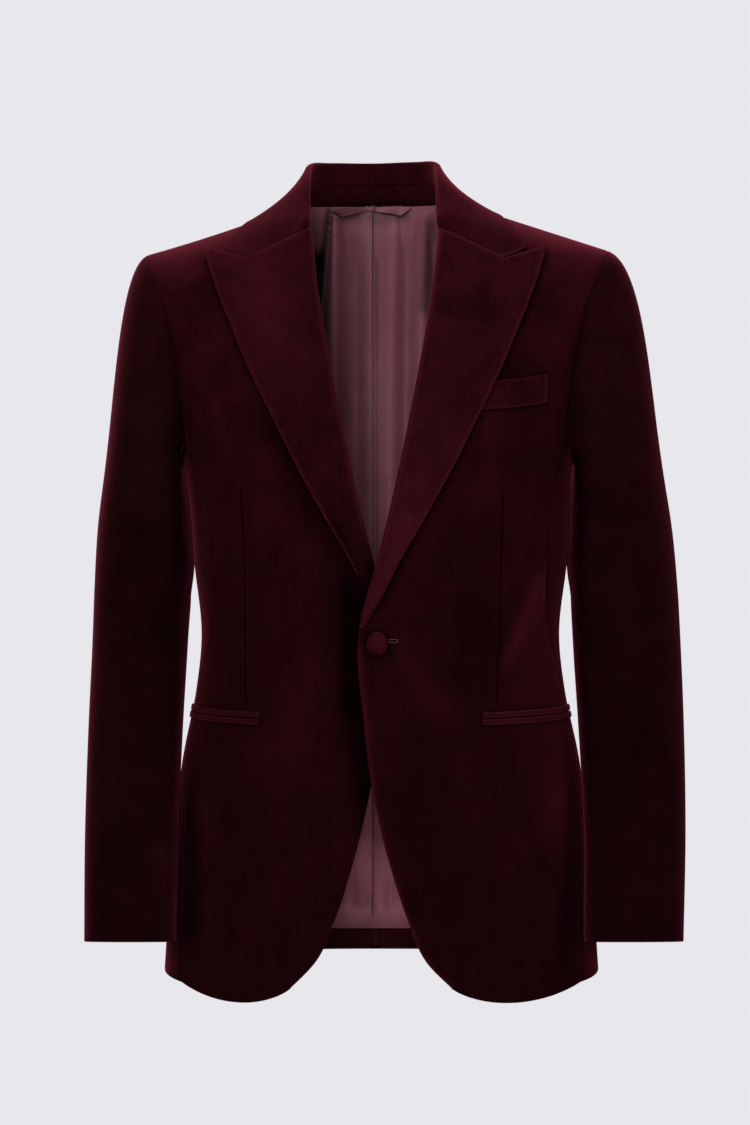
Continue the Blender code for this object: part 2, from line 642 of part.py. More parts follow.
def lining_grids(rows):
    """Inside of each half of the back lining, clear of the back panels, with soft waves down it."""
    cloth = {side: outward(back_grid(side, BACK_COLUMNS, rows, LINING_HEM_Z), -side) for side in SIDE_NAMES}
    normals = shared_normals(cloth)
    made = {}
    for side in SIDE_NAMES:
        points, away = (outward(grids[side], -side)[:, :LINING_COLUMNS + 1] for grids in (cloth, normals))
        u = np.linspace(0, 1, LINING_COLUMNS + 1)[None, :, None]
        t = np.linspace(0, 1, len(points))[:, None, None]
        loose = ramp(t, 0, LINING_LOOSE) * ramp(t, 1, 1 - LINING_LOOSE)
        loose = np.maximum(loose, ramp(u, *LINING_SHOULDER) * ramp(t, 0.5, 0.8))
        wave = LINING_WAVE * (0.5 - 0.5 * np.cos(2 * math.pi * LINING_WAVES * u))
        clear = LINING_SEAT + loose * (LINING_CLEAR + wave)
        made[side] = outward(points - away * (VELVET_WALL + LINING_WALL + clear), -side)
    return made


def loop_points():
    """Where the hanger loop lies, a ribbon below the collar band with two soft droops."""
    t = np.linspace(-1, 1, 13)
    x = t * LOOP_LENGTH / 2
    share = np.abs(x) / NECK_POINT[LEFT][0]
    y = BACK_NECK[1] - LOOP_CLEAR - (BACK_NECK[1] - NECK_POINT[LEFT][1]) * (1 - np.sqrt(1 - share**2))
    droop = LOOP_DROOP * np.exp(-((np.abs(t) - 0.68) / 0.22)**2)
    top = np.stack([x, y, LOOP_Z + LOOP_HEIGHT / 2 - 0.3 * droop], -1)
    foot = np.stack([x, y, LOOP_Z - LOOP_HEIGHT / 2 + 0.003 * np.exp(-(t / 0.25)**2) - droop], -1)
    return np.stack([foot, (foot + top) / 2, top])


def laid_on(tree, points, wall):
    """Outer and inner points of a strip laid on the cloth in tree at these points."""
    found = [tree.find_nearest(Vector(point)) for point in points.reshape(-1, 3)]
    base = np.array([np.array(near) for near, _, _, _ in found]).reshape(points.shape)
    normal = grid_normals(base)
    return base + normal * (ON_PANEL + wall), base + normal * ON_PANEL


def jet_points(side, z_low):
    """Where one jet of a hip pocket lies, round the front and side."""
    t = np.linspace(0, 1, 21)
    z = np.stack([z_low + JET_RISE * t, z_low + JET_HEIGHT + JET_RISE * t])
    start = angle_of(JET_START_X / section(side, z)[0])
    return outward(body_point(side, start + JET_TURN * t, z), side)


def welt_points(tree):
    """Where the breast pocket's welt lies."""
    t = np.linspace(0, 1, 7)
    k = np.linspace(0, 1, 4)[:, None]
    x = WELT_X[0] + (WELT_X[1] - WELT_X[0]) * t + np.zeros_like(k)
    z = WELT_Z[0] + (WELT_Z[1] - WELT_Z[0]) * t - WELT_BOW * np.sin(math.pi * t) + WELT_HEIGHT * k
    return on_front_grid(tree, x, z)[0]


def add_button(tree, material, collection):
    """The cloth-covered button: a dome turned about its axis, standing on the left front."""
    data = bpy.data.meshes.new("button")
    edges = [(k, k + 1) for k in range(len(BUTTON_PROFILE) - 1)]
    data.from_pydata([(radius, 0, height) for radius, height in BUTTON_PROFILE], edges, [])
    data.materials.append(material)
    button = bpy.data.objects.new("button", data)
    collection.objects.link(button)
    turn = button.modifiers.new("turn", "SCREW")
    turn.axis = "Z"
    turn.angle = 2 * math.pi
    turn.steps = turn.render_steps = 24
    turn.use_merge_vertices = True
    turn.merge_threshold = 1e-5
    turn.use_normal_calculate = True
    point, _ = on_front(tree, BUTTON_X, BUTTON_Z)
    button.location = Vector(point) + Vector((0, -BUTTON_STAND, 0))
    button.rotation_euler = (math.radians(90), 0, 0)


def build():
    for thing in list(bpy.data.objects):
        bpy.data.objects.remove(thing)
    jacket = collection_named("velvet_jacket")
    velvet = cloth_material("velvet", (0.052, 0.0075, 0.0135), 0.85, 0.6)
    satin = cloth_material("satin_lining", (0.155, 0.052, 0.068), 0.38, 0.1)

    rows = (BODY_ROWS, ARMHOLE_ROWS, YOKE_ROWS)
    grids = {}
    for side, word in SIDE_NAMES.items():
        front = front_grid(side, FRONT_COLUMNS, rows)
        back = back_grid(side, BACK_COLUMNS, rows)
        under = side_grid(side, SIDE_COLUMNS, rows)
        loop = armhole_loop(front, back, rows)
        tip = YOKE_ROWS + ARMHOLE_ROWS
        turn = np.concatenate([spread(loop[:tip + 1], SLEEVE_FRONT_SEAM, 0),
                               spread(loop[tip:], 0, SLEEVE_BACK_SEAM - 2 * math.pi)[1:]])
        under_turn = spread(under[-1], SLEEVE_FRONT_SEAM, SLEEVE_BACK_SEAM)
        grids["front_" + word] = outward(front, side)
        grids["side_panel_" + word] = outward(under, side)
        grids["back_" + word] = outward(back, -side)
        grids["sleeve_top_" + word] = outward(sleeve_grid(side, loop, turn), side)
        grids["sleeve_under_" + word] = outward(sleeve_grid(side, under[-1], under_turn), -side)
    normals = shared_normals(grids)
    for name, grid in grids.items():
        outer = drawn_in(grid, normals[name], SEAM_GAP / 2, CORNER_OPEN)
        inner = drawn_in(outer - normals[name] * VELVET_WALL, normals[name], SEAM_INSIDE, CORNER_INSIDE)
        add_sheet(name, outer, inner, velvet, jacket)

    fine_rows = tuple(count * FINE for count in rows)
    for side, word in SIDE_NAMES.items():
        tree = tree_of([front_grid(side, FRONT_COLUMNS * FINE, fine_rows, FRONT_SPARE)])
        panels = tree_of([grids["front_" + word], grids["side_panel_" + word]])
        outer, inner = lapel_grids(side, tree, 16, 8)
        add_sheet("lapel_" + word, outer, inner, velvet, jacket)
        for place, z in (("lower", JET_Z - JET_HEIGHT - JET_SLIT / 2), ("upper", JET_Z + JET_SLIT / 2)):
            outer, inner = laid_on(panels, jet_points(side, z), JET_WALL)
            add_sheet("pocket_jet_" + place + "_" + word, outer, inner, velvet, jacket)
        if side == LEFT:
            outer, inner = laid_on(panels, welt_points(panels), WELT_WALL)
            add_sheet("breast_welt", outer, inner, velvet, jacket)
            add_button(panels, velvet, jacket)

    linings = lining_grids(LINING_ROWS)
    normals = shared_normals(linings)
    for side, word in SIDE_NAMES.items():
        inside = drawn_in(linings[side], normals[side], SEAM_GAP / 2)
        add_sheet("lining_back_" + word, inside + normals[side] * LINING_WALL, inside, satin, jacket)

    shoulders = [outward(front_grid(side, FRONT_COLUMNS * FINE, fine_rows, FRONT_SPARE), side) for side in SIDE_NAMES]
    shoulders += [outward(back_grid(side, BACK_COLUMNS * FINE, fine_rows), -side) for side in SIDE_NAMES]
    collar = collar_grid(tree_of(shoulders), COLLAR_STATIONS)
    band = band_grid(collar[:, -1])
    collar_normals, band_normals = grid_normals(collar), grid_normals(band)
    joined = slice(BAND_SKIP, COLLAR_STATIONS + 1 - BAND_SKIP)
    mitre = unit(collar_normals[joined, -1] + band_normals[-1])
    collar_normals[joined, -1], band_normals[-1] = mitre, mitre
    add_sheet("collar", collar, collar - collar_normals * COLLAR_WALL, velvet, jacket)
    add_sheet("collar_band", band - band_normals * BAND_WALL, band, velvet, jacket)
    outer, inner = laid_on(tree_of(list(linings.values())), loop_points(), LOOP_WALL)
    add_sheet("hanger_loop", outer, inner, satin, jacket)


build()
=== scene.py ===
"""Velvet dinner jacket, filled out as if worn: its cloth, sewing, light and camera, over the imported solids.

Metres, +Z up. The jacket faces -Y, and the wearer's left is +X.
"""

import math

import bpy
import numpy as np
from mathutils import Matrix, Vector
from mathutils.bvhtree import BVHTree


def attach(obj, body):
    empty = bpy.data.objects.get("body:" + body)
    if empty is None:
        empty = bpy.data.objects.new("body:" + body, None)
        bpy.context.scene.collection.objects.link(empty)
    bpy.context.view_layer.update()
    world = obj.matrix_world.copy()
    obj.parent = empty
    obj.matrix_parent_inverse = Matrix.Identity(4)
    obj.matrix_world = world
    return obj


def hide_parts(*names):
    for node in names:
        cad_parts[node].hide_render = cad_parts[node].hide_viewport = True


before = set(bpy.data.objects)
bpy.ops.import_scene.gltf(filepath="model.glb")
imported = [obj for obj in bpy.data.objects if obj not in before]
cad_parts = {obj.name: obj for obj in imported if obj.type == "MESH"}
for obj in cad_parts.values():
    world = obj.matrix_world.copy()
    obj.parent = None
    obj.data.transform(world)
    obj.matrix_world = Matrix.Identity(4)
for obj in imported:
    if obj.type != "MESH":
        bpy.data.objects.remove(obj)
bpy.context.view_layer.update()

LEFT, RIGHT = 1, -1
SIDE_NAMES = {LEFT: "left", RIGHT: "right"}


# Front panels: two pieces of deep burgundy cotton velvet, cut from the shoulder to the rounded hem, with a
# dart sewn down each from below the chest to the pocket. The left front laps over the right and buttons.
VELVET_WALL = 0.0022
BODY_POWER = 2.25
BODY = np.array([
    # z, half_width, middle_y, front, back
    (-0.750, 0.2105, 0.020, 0.150, 0.110),
    (-0.620, 0.2010, 0.015, 0.143, 0.107),
    (-0.530, 0.1905, 0.008, 0.134, 0.102),
    (-0.463, 0.1767, 0.003, 0.127, 0.098),
    (-0.415, 0.1716, 0.000, 0.123, 0.097),
    (-0.343, 0.1788, 0.000, 0.122, 0.104),
    (-0.250, 0.1865, 0.000, 0.112, 0.113),
    (-0.170, 0.2100, 0.000, 0.098, 0.116),
    (-0.120, 0.2300, 0.000, 0.086, 0.112),
])
SWING, SWING_TOP, SWING_FULL = 0.030, -0.20, -0.33
FRONT_CORNER_Z, FRONT_SIDE_HEM_Z = -0.7353, -0.7385
UNDERARM_FRONT_Z, YOKE_Z = -0.232, -0.120
HEM_DIP, HEM_EASE, HEM_BEND, HEM_CLOSENESS = 0.0140, 0.02, 0.65, 1.3
NECK_POINT = {LEFT: np.array([0.075, 0.004, 0.005]), RIGHT: np.array([-0.075, 0.004, 0.001])}
SHOULDER_TIP = {LEFT: np.array([0.224, 0.008, -0.0425]), RIGHT: np.array([-0.218, 0.008, -0.0465])}
SHOULDER_SAG = {LEFT: 0.0, RIGHT: 0.002}
FRONT_EDGE = np.array([
    # z, from_centre
    (-0.7353, 0.0744),
    (-0.7110, 0.0515),
    (-0.6740, 0.0343),
    (-0.6200, 0.0165),
    (-0.5480, -0.0005),
    (-0.4800, -0.0115),
    (-0.4180, -0.0158),
    (-0.4040, -0.0145),
    (-0.3500, -0.0010),
    (-0.3000, 0.0119),
    (-0.2500, 0.0230),
    (-0.2000, 0.0333),
    (-0.1500, 0.0427),
    (-0.0900, 0.0530),
    (-0.0255, 0.0600),
])
CUTAWAY_SHIFT = {LEFT: -0.003, RIGHT: 0.004}
CUTAWAY_TOP, CUTAWAY_FULL = -0.48, -0.56
FRONT_SEAM = np.array([
    # z, share of the half width
    (-0.740, 0.900),
    (-0.600, 0.940),
    (-0.500, 0.972),
    (-0.440, 0.965),
    (-0.400, 0.920),
    (-0.345, 0.875),
    (-0.280, 0.895),
    (-0.232, 0.940),
])
ARMHOLE = np.array([
    # z, front_x, back_x
    (-0.232, 0.1790, 0.1810),
    (-0.200, 0.1815, 0.1850),
    (-0.160, 0.1870, 0.1885),
    (-0.120, 0.1945, 0.1950),
])
LAP_LIFT, LAP_LOW_LIFT = 0.0090, 0.0045
LAP_INNER, LAP_OUTER = 0.030, 0.085
LAP_TOP, LAP_FULL, LAP_EASE, LAP_LOW = -0.20, -0.33, -0.41, -0.47
ROLL_RADIUS, SEAM_GAP = 0.0042, 0.0003
ROLL_INSET = ROLL_RADIUS + SEAM_GAP
ROLL_FOOT = (-0.398, -0.382)
FRONT_ARRIVE, FRONT_ARRIVE_NECK = 0.10, 0.5
DART = {
    LEFT: np.array([(-0.480, 0.1122), (-0.345, 0.1165), (-0.262, 0.1192)]),
    RIGHT: np.array([(-0.480, -0.1197), (-0.345, -0.1207), (-0.262, -0.1252)]),
}
DART_STEPS = np.array([-2.6, -1.5, -0.8, -0.35, 0.0, 0.35, 0.8, 1.5, 2.6]) / 1000
DART_DEPTH, DART_WIDTH = 0.0019, 0.0012
DART_FOOT, DART_HEAD = (-0.478, -0.470), (-0.258, -0.285)
DART_SHARE_LEAST, DART_SHARE_MOST = 0.30, 0.75
UNEVEN_HEIGHT, FRONT_WAVE = 0.0004, 0.16
FRONT_FOLDS = {
    # start x and z, end x and z, width, height
    LEFT: [
        (0.164, -0.340, 0.1270, -0.432, 0.008, 0.0050),
        (0.146, -0.345, 0.112, -0.435, 0.009, -0.0030),
        (0.030, -0.440, 0.070, -0.485, 0.020, 0.0018),
        (0.170, -0.560, 0.172, -0.715, 0.012, 0.0016),
        (0.060, -0.560, 0.085, -0.690, 0.028, 0.0016),
    ],
    RIGHT: [
        (-0.066, -0.432, -0.106, -0.484, 0.024, 0.0022),
        (-0.150, -0.345, -0.135, -0.430, 0.014, 0.0016),
        (-0.075, -0.560, -0.090, -0.690, 0.026, 0.0018),
        (-0.165, -0.540, -0.160, -0.715, 0.014, 0.0014),
    ],
}
BODY_ROWS, ARMHOLE_ROWS, YOKE_ROWS = 78, 18, 30
FRONT_COLUMNS_IN, FRONT_COLUMNS_OUT = 34, 26
SEAM_TURNS = np.radians([0, 22, 44, 62, 78, 90])
SQUARE_LEAST, SQUARE_FULL, REACH_LEAST, ROLL_MOST = 0.1, 0.7, 0.0002, 0.8
END_ROWS, TURNING_LEAST = 4, 0.08
STROKE_START, STROKE_END = 0.1, 0.9
SEAM_ROUND, SEAM_TURNING, EDGE_ROUND, EDGE_TURNING = 0.0010, 0.0030, 0.0014, 0.0016
BORDER_SHARE, TURN_UP, CORNER, CORNER_WALL = 0.07, 11, 8, 0.1
SMOOTH_ANGLE = math.radians(60)
RIM_WIDTH, RIM_STEP = 0.0020, 0.016


def smooth_line(keys, values):
    """A smooth function through the points (key, value); the keys rise."""
    keys = np.asarray(keys, float)
    values = np.asarray(values, float)
    step = np.diff(keys).reshape((-1,) + (1,) * (values.ndim - 1))
    rise = np.diff(values, axis=0) / step
    slope = np.empty_like(values)
    slope[1:-1] = (rise[:-1] * step[1:] + rise[1:] * step[:-1]) / (step[1:] + step[:-1])
    slope[0], slope[-1] = rise[0], rise[-1]

    def at(key):
        key = np.asarray(key, float)
        cell = np.clip(np.searchsorted(keys, key) - 1, 0, len(keys) - 2)
        width = keys[cell + 1] - keys[cell]
        t = np.clip((key - keys[cell]) / width, 0, 1)
        extra = (1,) * (values.ndim - 1)
        t, width = t.reshape(t.shape + extra), width.reshape(width.shape + extra)
        return hermite(values[cell], slope[cell] * width, values[cell + 1], slope[cell + 1] * width, t)

    return at


def hermite(start, leave, end, arrive, t):
    """The cubic from start to end with those end tangents."""
    return ((2 * t**3 - 3 * t**2 + 1) * start + (t**3 - 2 * t**2 + t) * leave
            + (3 * t**2 - 2 * t**3) * end + (t**3 - t**2) * arrive)


def ramp(value, start, end):
    """0 at start and 1 at end, easing between them."""
    t = np.clip((np.asarray(value, float) - start) / (end - start), 0, 1)
    return t * t * (3 - 2 * t)


def unit(vectors):
    return vectors / np.maximum(np.linalg.norm(vectors, axis=-1, keepdims=True), 1e-12)


body_section = smooth_line(BODY[:, 0], BODY[:, 1:])
front_edge = smooth_line(FRONT_EDGE[:, 0], FRONT_EDGE[:, 1])
front_seam_share = smooth_line(FRONT_SEAM[:, 0], FRONT_SEAM[:, 1])
armhole_x = smooth_line(ARMHOLE[:, 0], ARMHOLE[:, 1:])


def section(side, z):
    """Half width, middle, front and back of the body at height z, on one side."""
    half, middle, front, back = np.moveaxis(body_section(z), -1, 0)
    return half * (1 + side * SWING * ramp(z, SWING_TOP, SWING_FULL)), middle, front, back


def body_point(side, angle, z):
    """A point of the body's outside; angle 0 is the middle front, 90 degrees the side, 180 the back."""
    half, middle, front, back = section(side, z)
    across, along = np.sin(angle), np.cos(angle)
    size = (np.abs(across)**BODY_POWER + np.abs(along)**BODY_POWER)**(-1 / BODY_POWER)
    depth = np.where(along > 0, front, back)
    return np.stack(np.broadcast_arrays(side * half * across * size, middle - depth * along * size, z), -1)


def angle_of(share):
    """The front angle at which the body reaches this share of its half width."""
    share = np.asarray(share, float)
    along = np.maximum(1 - np.abs(share)**BODY_POWER, 0)**(1 / BODY_POWER)
    return np.arctan2(share, along)


def opening(side, z):
    """How far the front edge or roll line lies from the middle, on its own side."""
    return front_edge(z) + CUTAWAY_SHIFT[side] * ramp(z, CUTAWAY_TOP, CUTAWAY_FULL)


def lap_lift(side, from_centre, z):
    """How far the left front is lifted over the right one."""
    if side == RIGHT:
        return np.zeros(np.broadcast(from_centre, z).shape)
    height = LAP_LOW_LIFT + (LAP_LIFT - LAP_LOW_LIFT) * ramp(z, LAP_LOW, LAP_EASE)
    return height * ramp(z, LAP_TOP, LAP_FULL) * ramp(from_centre, LAP_OUTER, LAP_INNER)


def stations(low, middle, high, counts):
    """Row heights from low through middle to high."""
    lower = low + (middle - low) * np.linspace(0, 1, counts[0] + 1)**HEM_CLOSENESS
    return np.concatenate([lower, np.linspace(middle, high, counts[1] + 1)[1:]])


def shoulder_seam(side, t):
    """The shoulder seam from the neck point (t 0) to the tip (t 1)."""
    t = np.asarray(t, float)[..., None]
    line = NECK_POINT[side] + (SHOULDER_TIP[side] - NECK_POINT[side]) * t
    return line - np.array([0, 0, SHOULDER_SAG[side]]) * 4 * t * (1 - t)


def loft_up(lower, top, arrive, rows):
    """Rows that carry on from the last two rows of lower and arrive at the top line."""
    start = lower[-1]
    reach = np.linalg.norm(top - start, axis=-1, keepdims=True)
    leave = unit(lower[-1] - lower[-2]) * reach
    t = np.linspace(0, 1, rows + 1)[1:, None, None]
    return hermite(start, leave, top, unit(arrive) * reach, t)


def dart_x(side, z):
    """Where the dart's line lies at height z; it runs straight on above and below its ends."""
    line = DART[side]
    return smooth_line(line[:, 0], line[:, 1])(np.clip(z, line[0, 0], line[-1, 0]))


def front_columns(side, z, inner, outer):
    """Shares across a front at each row: even, and close together beside the dart."""
    half = section(side, z)[0]
    dart = (angle_of(side * dart_x(side, z) / half) - inner) / (outer - inner)
    dart = np.clip(dart, DART_SHARE_LEAST, DART_SHARE_MOST)[:, None]
    width = (half * (outer - inner))[:, None]
    near = dart + DART_STEPS / width
    before = near[:, :1] * np.linspace(0, 1, FRONT_COLUMNS_IN + 1)[:-1]
    after = near[:, -1:] + (1 - near[:, -1:]) * np.linspace(0, 1, FRONT_COLUMNS_OUT + 1)[1:]
    return np.concatenate([before, near, after], 1)


def front_grid(side, rows, spare=0.0, columns=None):
    """Outside of a front panel, from hem to shoulder and from the front edge to the side seam or armhole.

    With spare, the same surface runs on past its front and neck edges by that much.
    """
    z_in = stations(FRONT_CORNER_Z, UNDERARM_FRONT_Z, YOKE_Z, rows)
    z_out = stations(FRONT_SIDE_HEM_Z, UNDERARM_FRONT_Z, YOKE_Z, rows)
    inset = ROLL_INSET * ramp(z_in, *ROLL_FOOT)
    inner = angle_of((opening(side, z_in) + inset - spare) / section(side, z_in)[0])
    outer_share = np.where(z_out < UNDERARM_FRONT_Z + 1e-6, front_seam_share(z_out),
                           armhole_x(z_out)[:, 0] / section(side, z_out)[0])
    outer = angle_of(outer_share)
    if columns:
        u = np.tile(np.linspace(0, 1, columns + 1), (len(z_in), 1))
    else:
        u = front_columns(side, z_in, inner, outer)
    least, most = HEM_EASE**HEM_BEND, (1 + HEM_EASE)**HEM_BEND
    bend = ((u + HEM_EASE)**HEM_BEND - least) / (most - least)
    dip = HEM_DIP * ramp(z_in, UNDERARM_FRONT_Z, FRONT_CORNER_Z)[:, None]**2 * np.sin(math.pi * bend)
    z = z_in[:, None] + (z_out - z_in)[:, None] * u - dip
    lower = body_point(side, inner[:, None] + (outer - inner)[:, None] * u, z)
    lower[..., 1] -= lap_lift(side, side * lower[..., 0], z)
    top = u[-1]
    rise = FRONT_ARRIVE + FRONT_ARRIVE_NECK * (1 - top)
    arrive = np.stack([np.zeros_like(top), np.ones_like(top), rise], -1)
    start = -spare / abs(SHOULDER_TIP[side][0] - NECK_POINT[side][0])
    seam = shoulder_seam(side, start + (1 - start) * top)
    return np.concatenate([lower, loft_up(lower, seam, arrive, rows[2])]), top


def grid_normals(grid):
    """Unit normals of a grid of points; rows run up and columns run across.

    Each corner takes the normals beside it.
    """
    normals = unit(np.cross(np.gradient(grid, axis=1), np.gradient(grid, axis=0)))
    for down in (slice(0, 3), slice(-3, None)):
        for across in (slice(0, 3), slice(-3, None)):
            normals[down, across] = normals[3 if down.start == 0 else -4, 3 if across.start == 0 else -4]
    return normals


def outward(grid, side):
    """The grid with its columns running so that its normals face out of the garment."""
    return grid if side == LEFT else grid[:, ::-1]


def within(grid):
    """1 inside a grid, easing to 0 at its borders, where it is sewn."""
    down, across = (ramp(0.5 - np.abs(np.linspace(-0.5, 0.5, n)), 0, BORDER_SHARE) for n in grid.shape[:2])
    return down[:, None] * across


def along_lines(place, lines):
    """The sum at each place of soft strokes between two points, each with its width and height."""
    total = np.zeros(place.shape[:-1])
    for x0, z0, x1, z1, width, height in lines:
        start, line = np.array([x0, z0]), np.array([x1 - x0, z1 - z0])
        along = ((place - start) @ line) / (line @ line)
        nearest = start + np.clip(along, STROKE_START, STROKE_END)[..., None] * line
        total += height * np.exp(-(np.linalg.norm(place - nearest, axis=-1) / width)**2)
    return total


def run_along(points):
    """How far along their line each of these points lies."""
    return np.concatenate([[0], np.cumsum(np.linalg.norm(np.diff(points, axis=0), axis=-1))])


def rim(line, height, width=RIM_WIDTH, step=RIM_STEP):
    """Strokes of painted highlight that follow an edge, given as a line of points."""
    reached = run_along(line)
    marks = np.linspace(0, reached[-1], max(2, round(reached[-1] / step) + 1))
    x, z = np.interp(marks, reached, line[:, 0]), np.interp(marks, reached, line[:, 2])
    return [(*ends, width, height) for ends in zip(x[:-1], z[:-1], x[1:], z[1:])]


def creased(grid, folds, place):
    """The grid moved out along soft ridges, or in along troughs, that run between two places."""
    return grid + grid_normals(grid) * (along_lines(place, folds) * within(grid))[..., None]


def uneven(grid, height, wave):
    """The grid with the slight unevenness of cloth that hangs."""
    x, y, z = np.moveaxis(grid, -1, 0) * (2 * math.pi / wave)
    swell = np.sin(x + 0.7 * np.sin(0.6 * z)) * np.sin(0.55 * z + y + 0.8 * np.sin(0.8 * x))
    swell += 0.6 * np.sin(1.7 * z + 0.9 * y + np.sin(1.3 * x))
    return grid + grid_normals(grid) * (height * swell * within(grid))[..., None]


def shared_normals(grids):
    """Normals of each grid, averaged along the seams where grids meet."""
    own = {name: grid_normals(grid) for name, grid in grids.items()}
    meeting = {}
    borders = (np.s_[0], np.s_[-1], np.s_[:, 0], np.s_[:, -1])
    for name, grid in grids.items():
        for border in borders:
            for key, normal in zip(map(tuple, np.round(grid[border], 4)), own[name][border]):
                meeting.setdefault(key, []).append(normal)
    for name, grid in grids.items():
        normals = own[name].copy()
        for border in borders:
            mean = [sum(meeting[key]) for key in map(tuple, np.round(grid[border], 4))]
            normals[border] = unit(np.array(mean))
        own[name] = normals
    return own


def turned(grid, normals, axis, last, radius, turning):
    """The grid with one border rolled down at this radius, as at a seam or a folded edge, and turned in."""
    if axis == 0:
        grid, normals = np.swapaxes(grid, 0, 1), np.swapaxes(normals, 0, 1)
    if not last:
        grid, normals = grid[:, ::-1], normals[:, ::-1]
    border, beside, away = grid[:, -1:], grid[:, -2:-1], normals[:, -1:]
    inwards = np.cross(away, unit(np.gradient(border, axis=0)))
    level = ramp(np.linalg.norm(inwards, axis=-1, keepdims=True), SQUARE_LEAST, SQUARE_FULL)
    inwards = unit(inwards)
    reach = ((beside - border) * inwards).sum(-1, keepdims=True)
    sense = np.sign(np.median(reach))
    inwards, reach = inwards * sense, np.maximum(reach * sense, REACH_LEAST)
    radius = np.minimum(radius, ROLL_MOST * reach) * level
    ends = np.minimum(np.arange(len(border)), np.arange(len(border))[::-1])[:, None, None]
    turning = turning * np.maximum(level * ramp(ends, 0, END_ROWS), TURNING_LEAST)
    in_by = radius * (1 - np.sin(SEAM_TURNS))[:, None]
    drop = radius * (1 - np.cos(SEAM_TURNS))[:, None]
    rolled = border + inwards * in_by - away * drop
    foot = border - away * (radius + turning)
    grid = np.concatenate([grid[:, :-1], rolled, foot], 1)
    normals = np.concatenate([normals[:, :-1], np.repeat(away, len(SEAM_TURNS) + 1, 1)], 1)
    if not last:
        grid, normals = grid[:, ::-1], normals[:, ::-1]
    if axis == 0:
        grid, normals = np.swapaxes(grid, 0, 1), np.swapaxes(normals, 0, 1)
    return grid, normals


def feed(tree, node, inputs):
    """The node, with each of these inputs set to a value or linked from a socket."""
    for key, value in inputs.items():
        if isinstance(value, bpy.types.NodeSocket):
            tree.links.new(value, node.inputs[key])
        else:
            node.inputs[key].default_value = value
    return node


def put(tree, kind, inputs=None, **settings):
    """A new node of this kind, with its settings and inputs."""
    node = tree.nodes.new("ShaderNode" + kind)
    for name, value in settings.items():
        setattr(node, name, value)
    return feed(tree, node, inputs or {})


def maths(tree, operation, *values, clamp=False):
    """The result of a maths node on these values."""
    return put(tree, "Math", dict(enumerate(values)), operation=operation, use_clamp=clamp).outputs[0]


def ranged(tree, value, start, end, low=0.0, high=1.0):
    """The value taken from the range between start and end to the range between low and high."""
    inputs = {"Value": value, "From Min": start, "From Max": end, "To Min": low, "To Max": high}
    return put(tree, "MapRange", inputs).outputs["Result"]


def mixed(tree, share, first, second, blend="MIX"):
    """Two colours mixed by this share of the second."""
    inputs = {"Factor": share, "A": first, "B": second}
    return put(tree, "Mix", inputs, data_type="RGBA", blend_type=blend).outputs["Result"]


def noise(tree, place, scale, detail, **more):
    """The strength of a noise at this place."""
    return put(tree, "TexNoise", {"Vector": place, "Scale": scale, "Detail": detail, **more}).outputs["Fac"]


def new_group(name, inputs, outputs):
    """A node group with these named kinds of socket, what comes into it and the node that leaves it."""
    group = bpy.data.node_groups.new(name, "ShaderNodeTree")
    for in_out, sockets in (("INPUT", inputs), ("OUTPUT", outputs)):
        for socket, kind in sockets.items():
            group.interface.new_socket(name=socket, in_out=in_out, socket_type="NodeSocket" + kind)
    return group, group.nodes.new("NodeGroupInput").outputs, group.nodes.new("NodeGroupOutput")


def new_material(name):
    """A new material, its node tree and its shader."""
    made = bpy.data.materials.new(name)
    made.use_nodes = True
    return made, made.node_tree, made.node_tree.nodes["Principled BSDF"]


def painted_light_and_shade():
    """Node group for painted light and shade: how much the strokes lighten, and painted shade near other
    cloth and along the darker strokes.
    """
    group, come, leave = new_group("painted_light_and_shade", {"Reach": "Float", "Depth": "Float"},
                                   {"Light": "Float", "Shade": "Float"})
    painted_strokes = put(group, "Attribute", attribute_name="painted_strokes").outputs["Fac"]
    # Painted shade: ambient occlusion darkens the colour where other cloth is near.
    near = put(group, "AmbientOcclusion", {"Distance": come["Reach"]}, samples=8).outputs["AO"]
    deep = maths(group, "POWER", near, come["Depth"])
    feed(group, leave, {
        "Light": ranged(group, painted_strokes, 0.0, 1.0),
        "Shade": maths(group, "MULTIPLY", deep, ranged(group, painted_strokes, -1.0, 0.0)),
    })
    return group


def painted_light_of(tree, reach, depth):
    """The painted light and shade group's results in a tree, with how far and how deeply its painted shade
    reaches from nearby cloth.
    """
    return put(tree, "Group", {"Reach": reach, "Depth": depth}, node_tree=PAINTED_LIGHT_GROUP).outputs


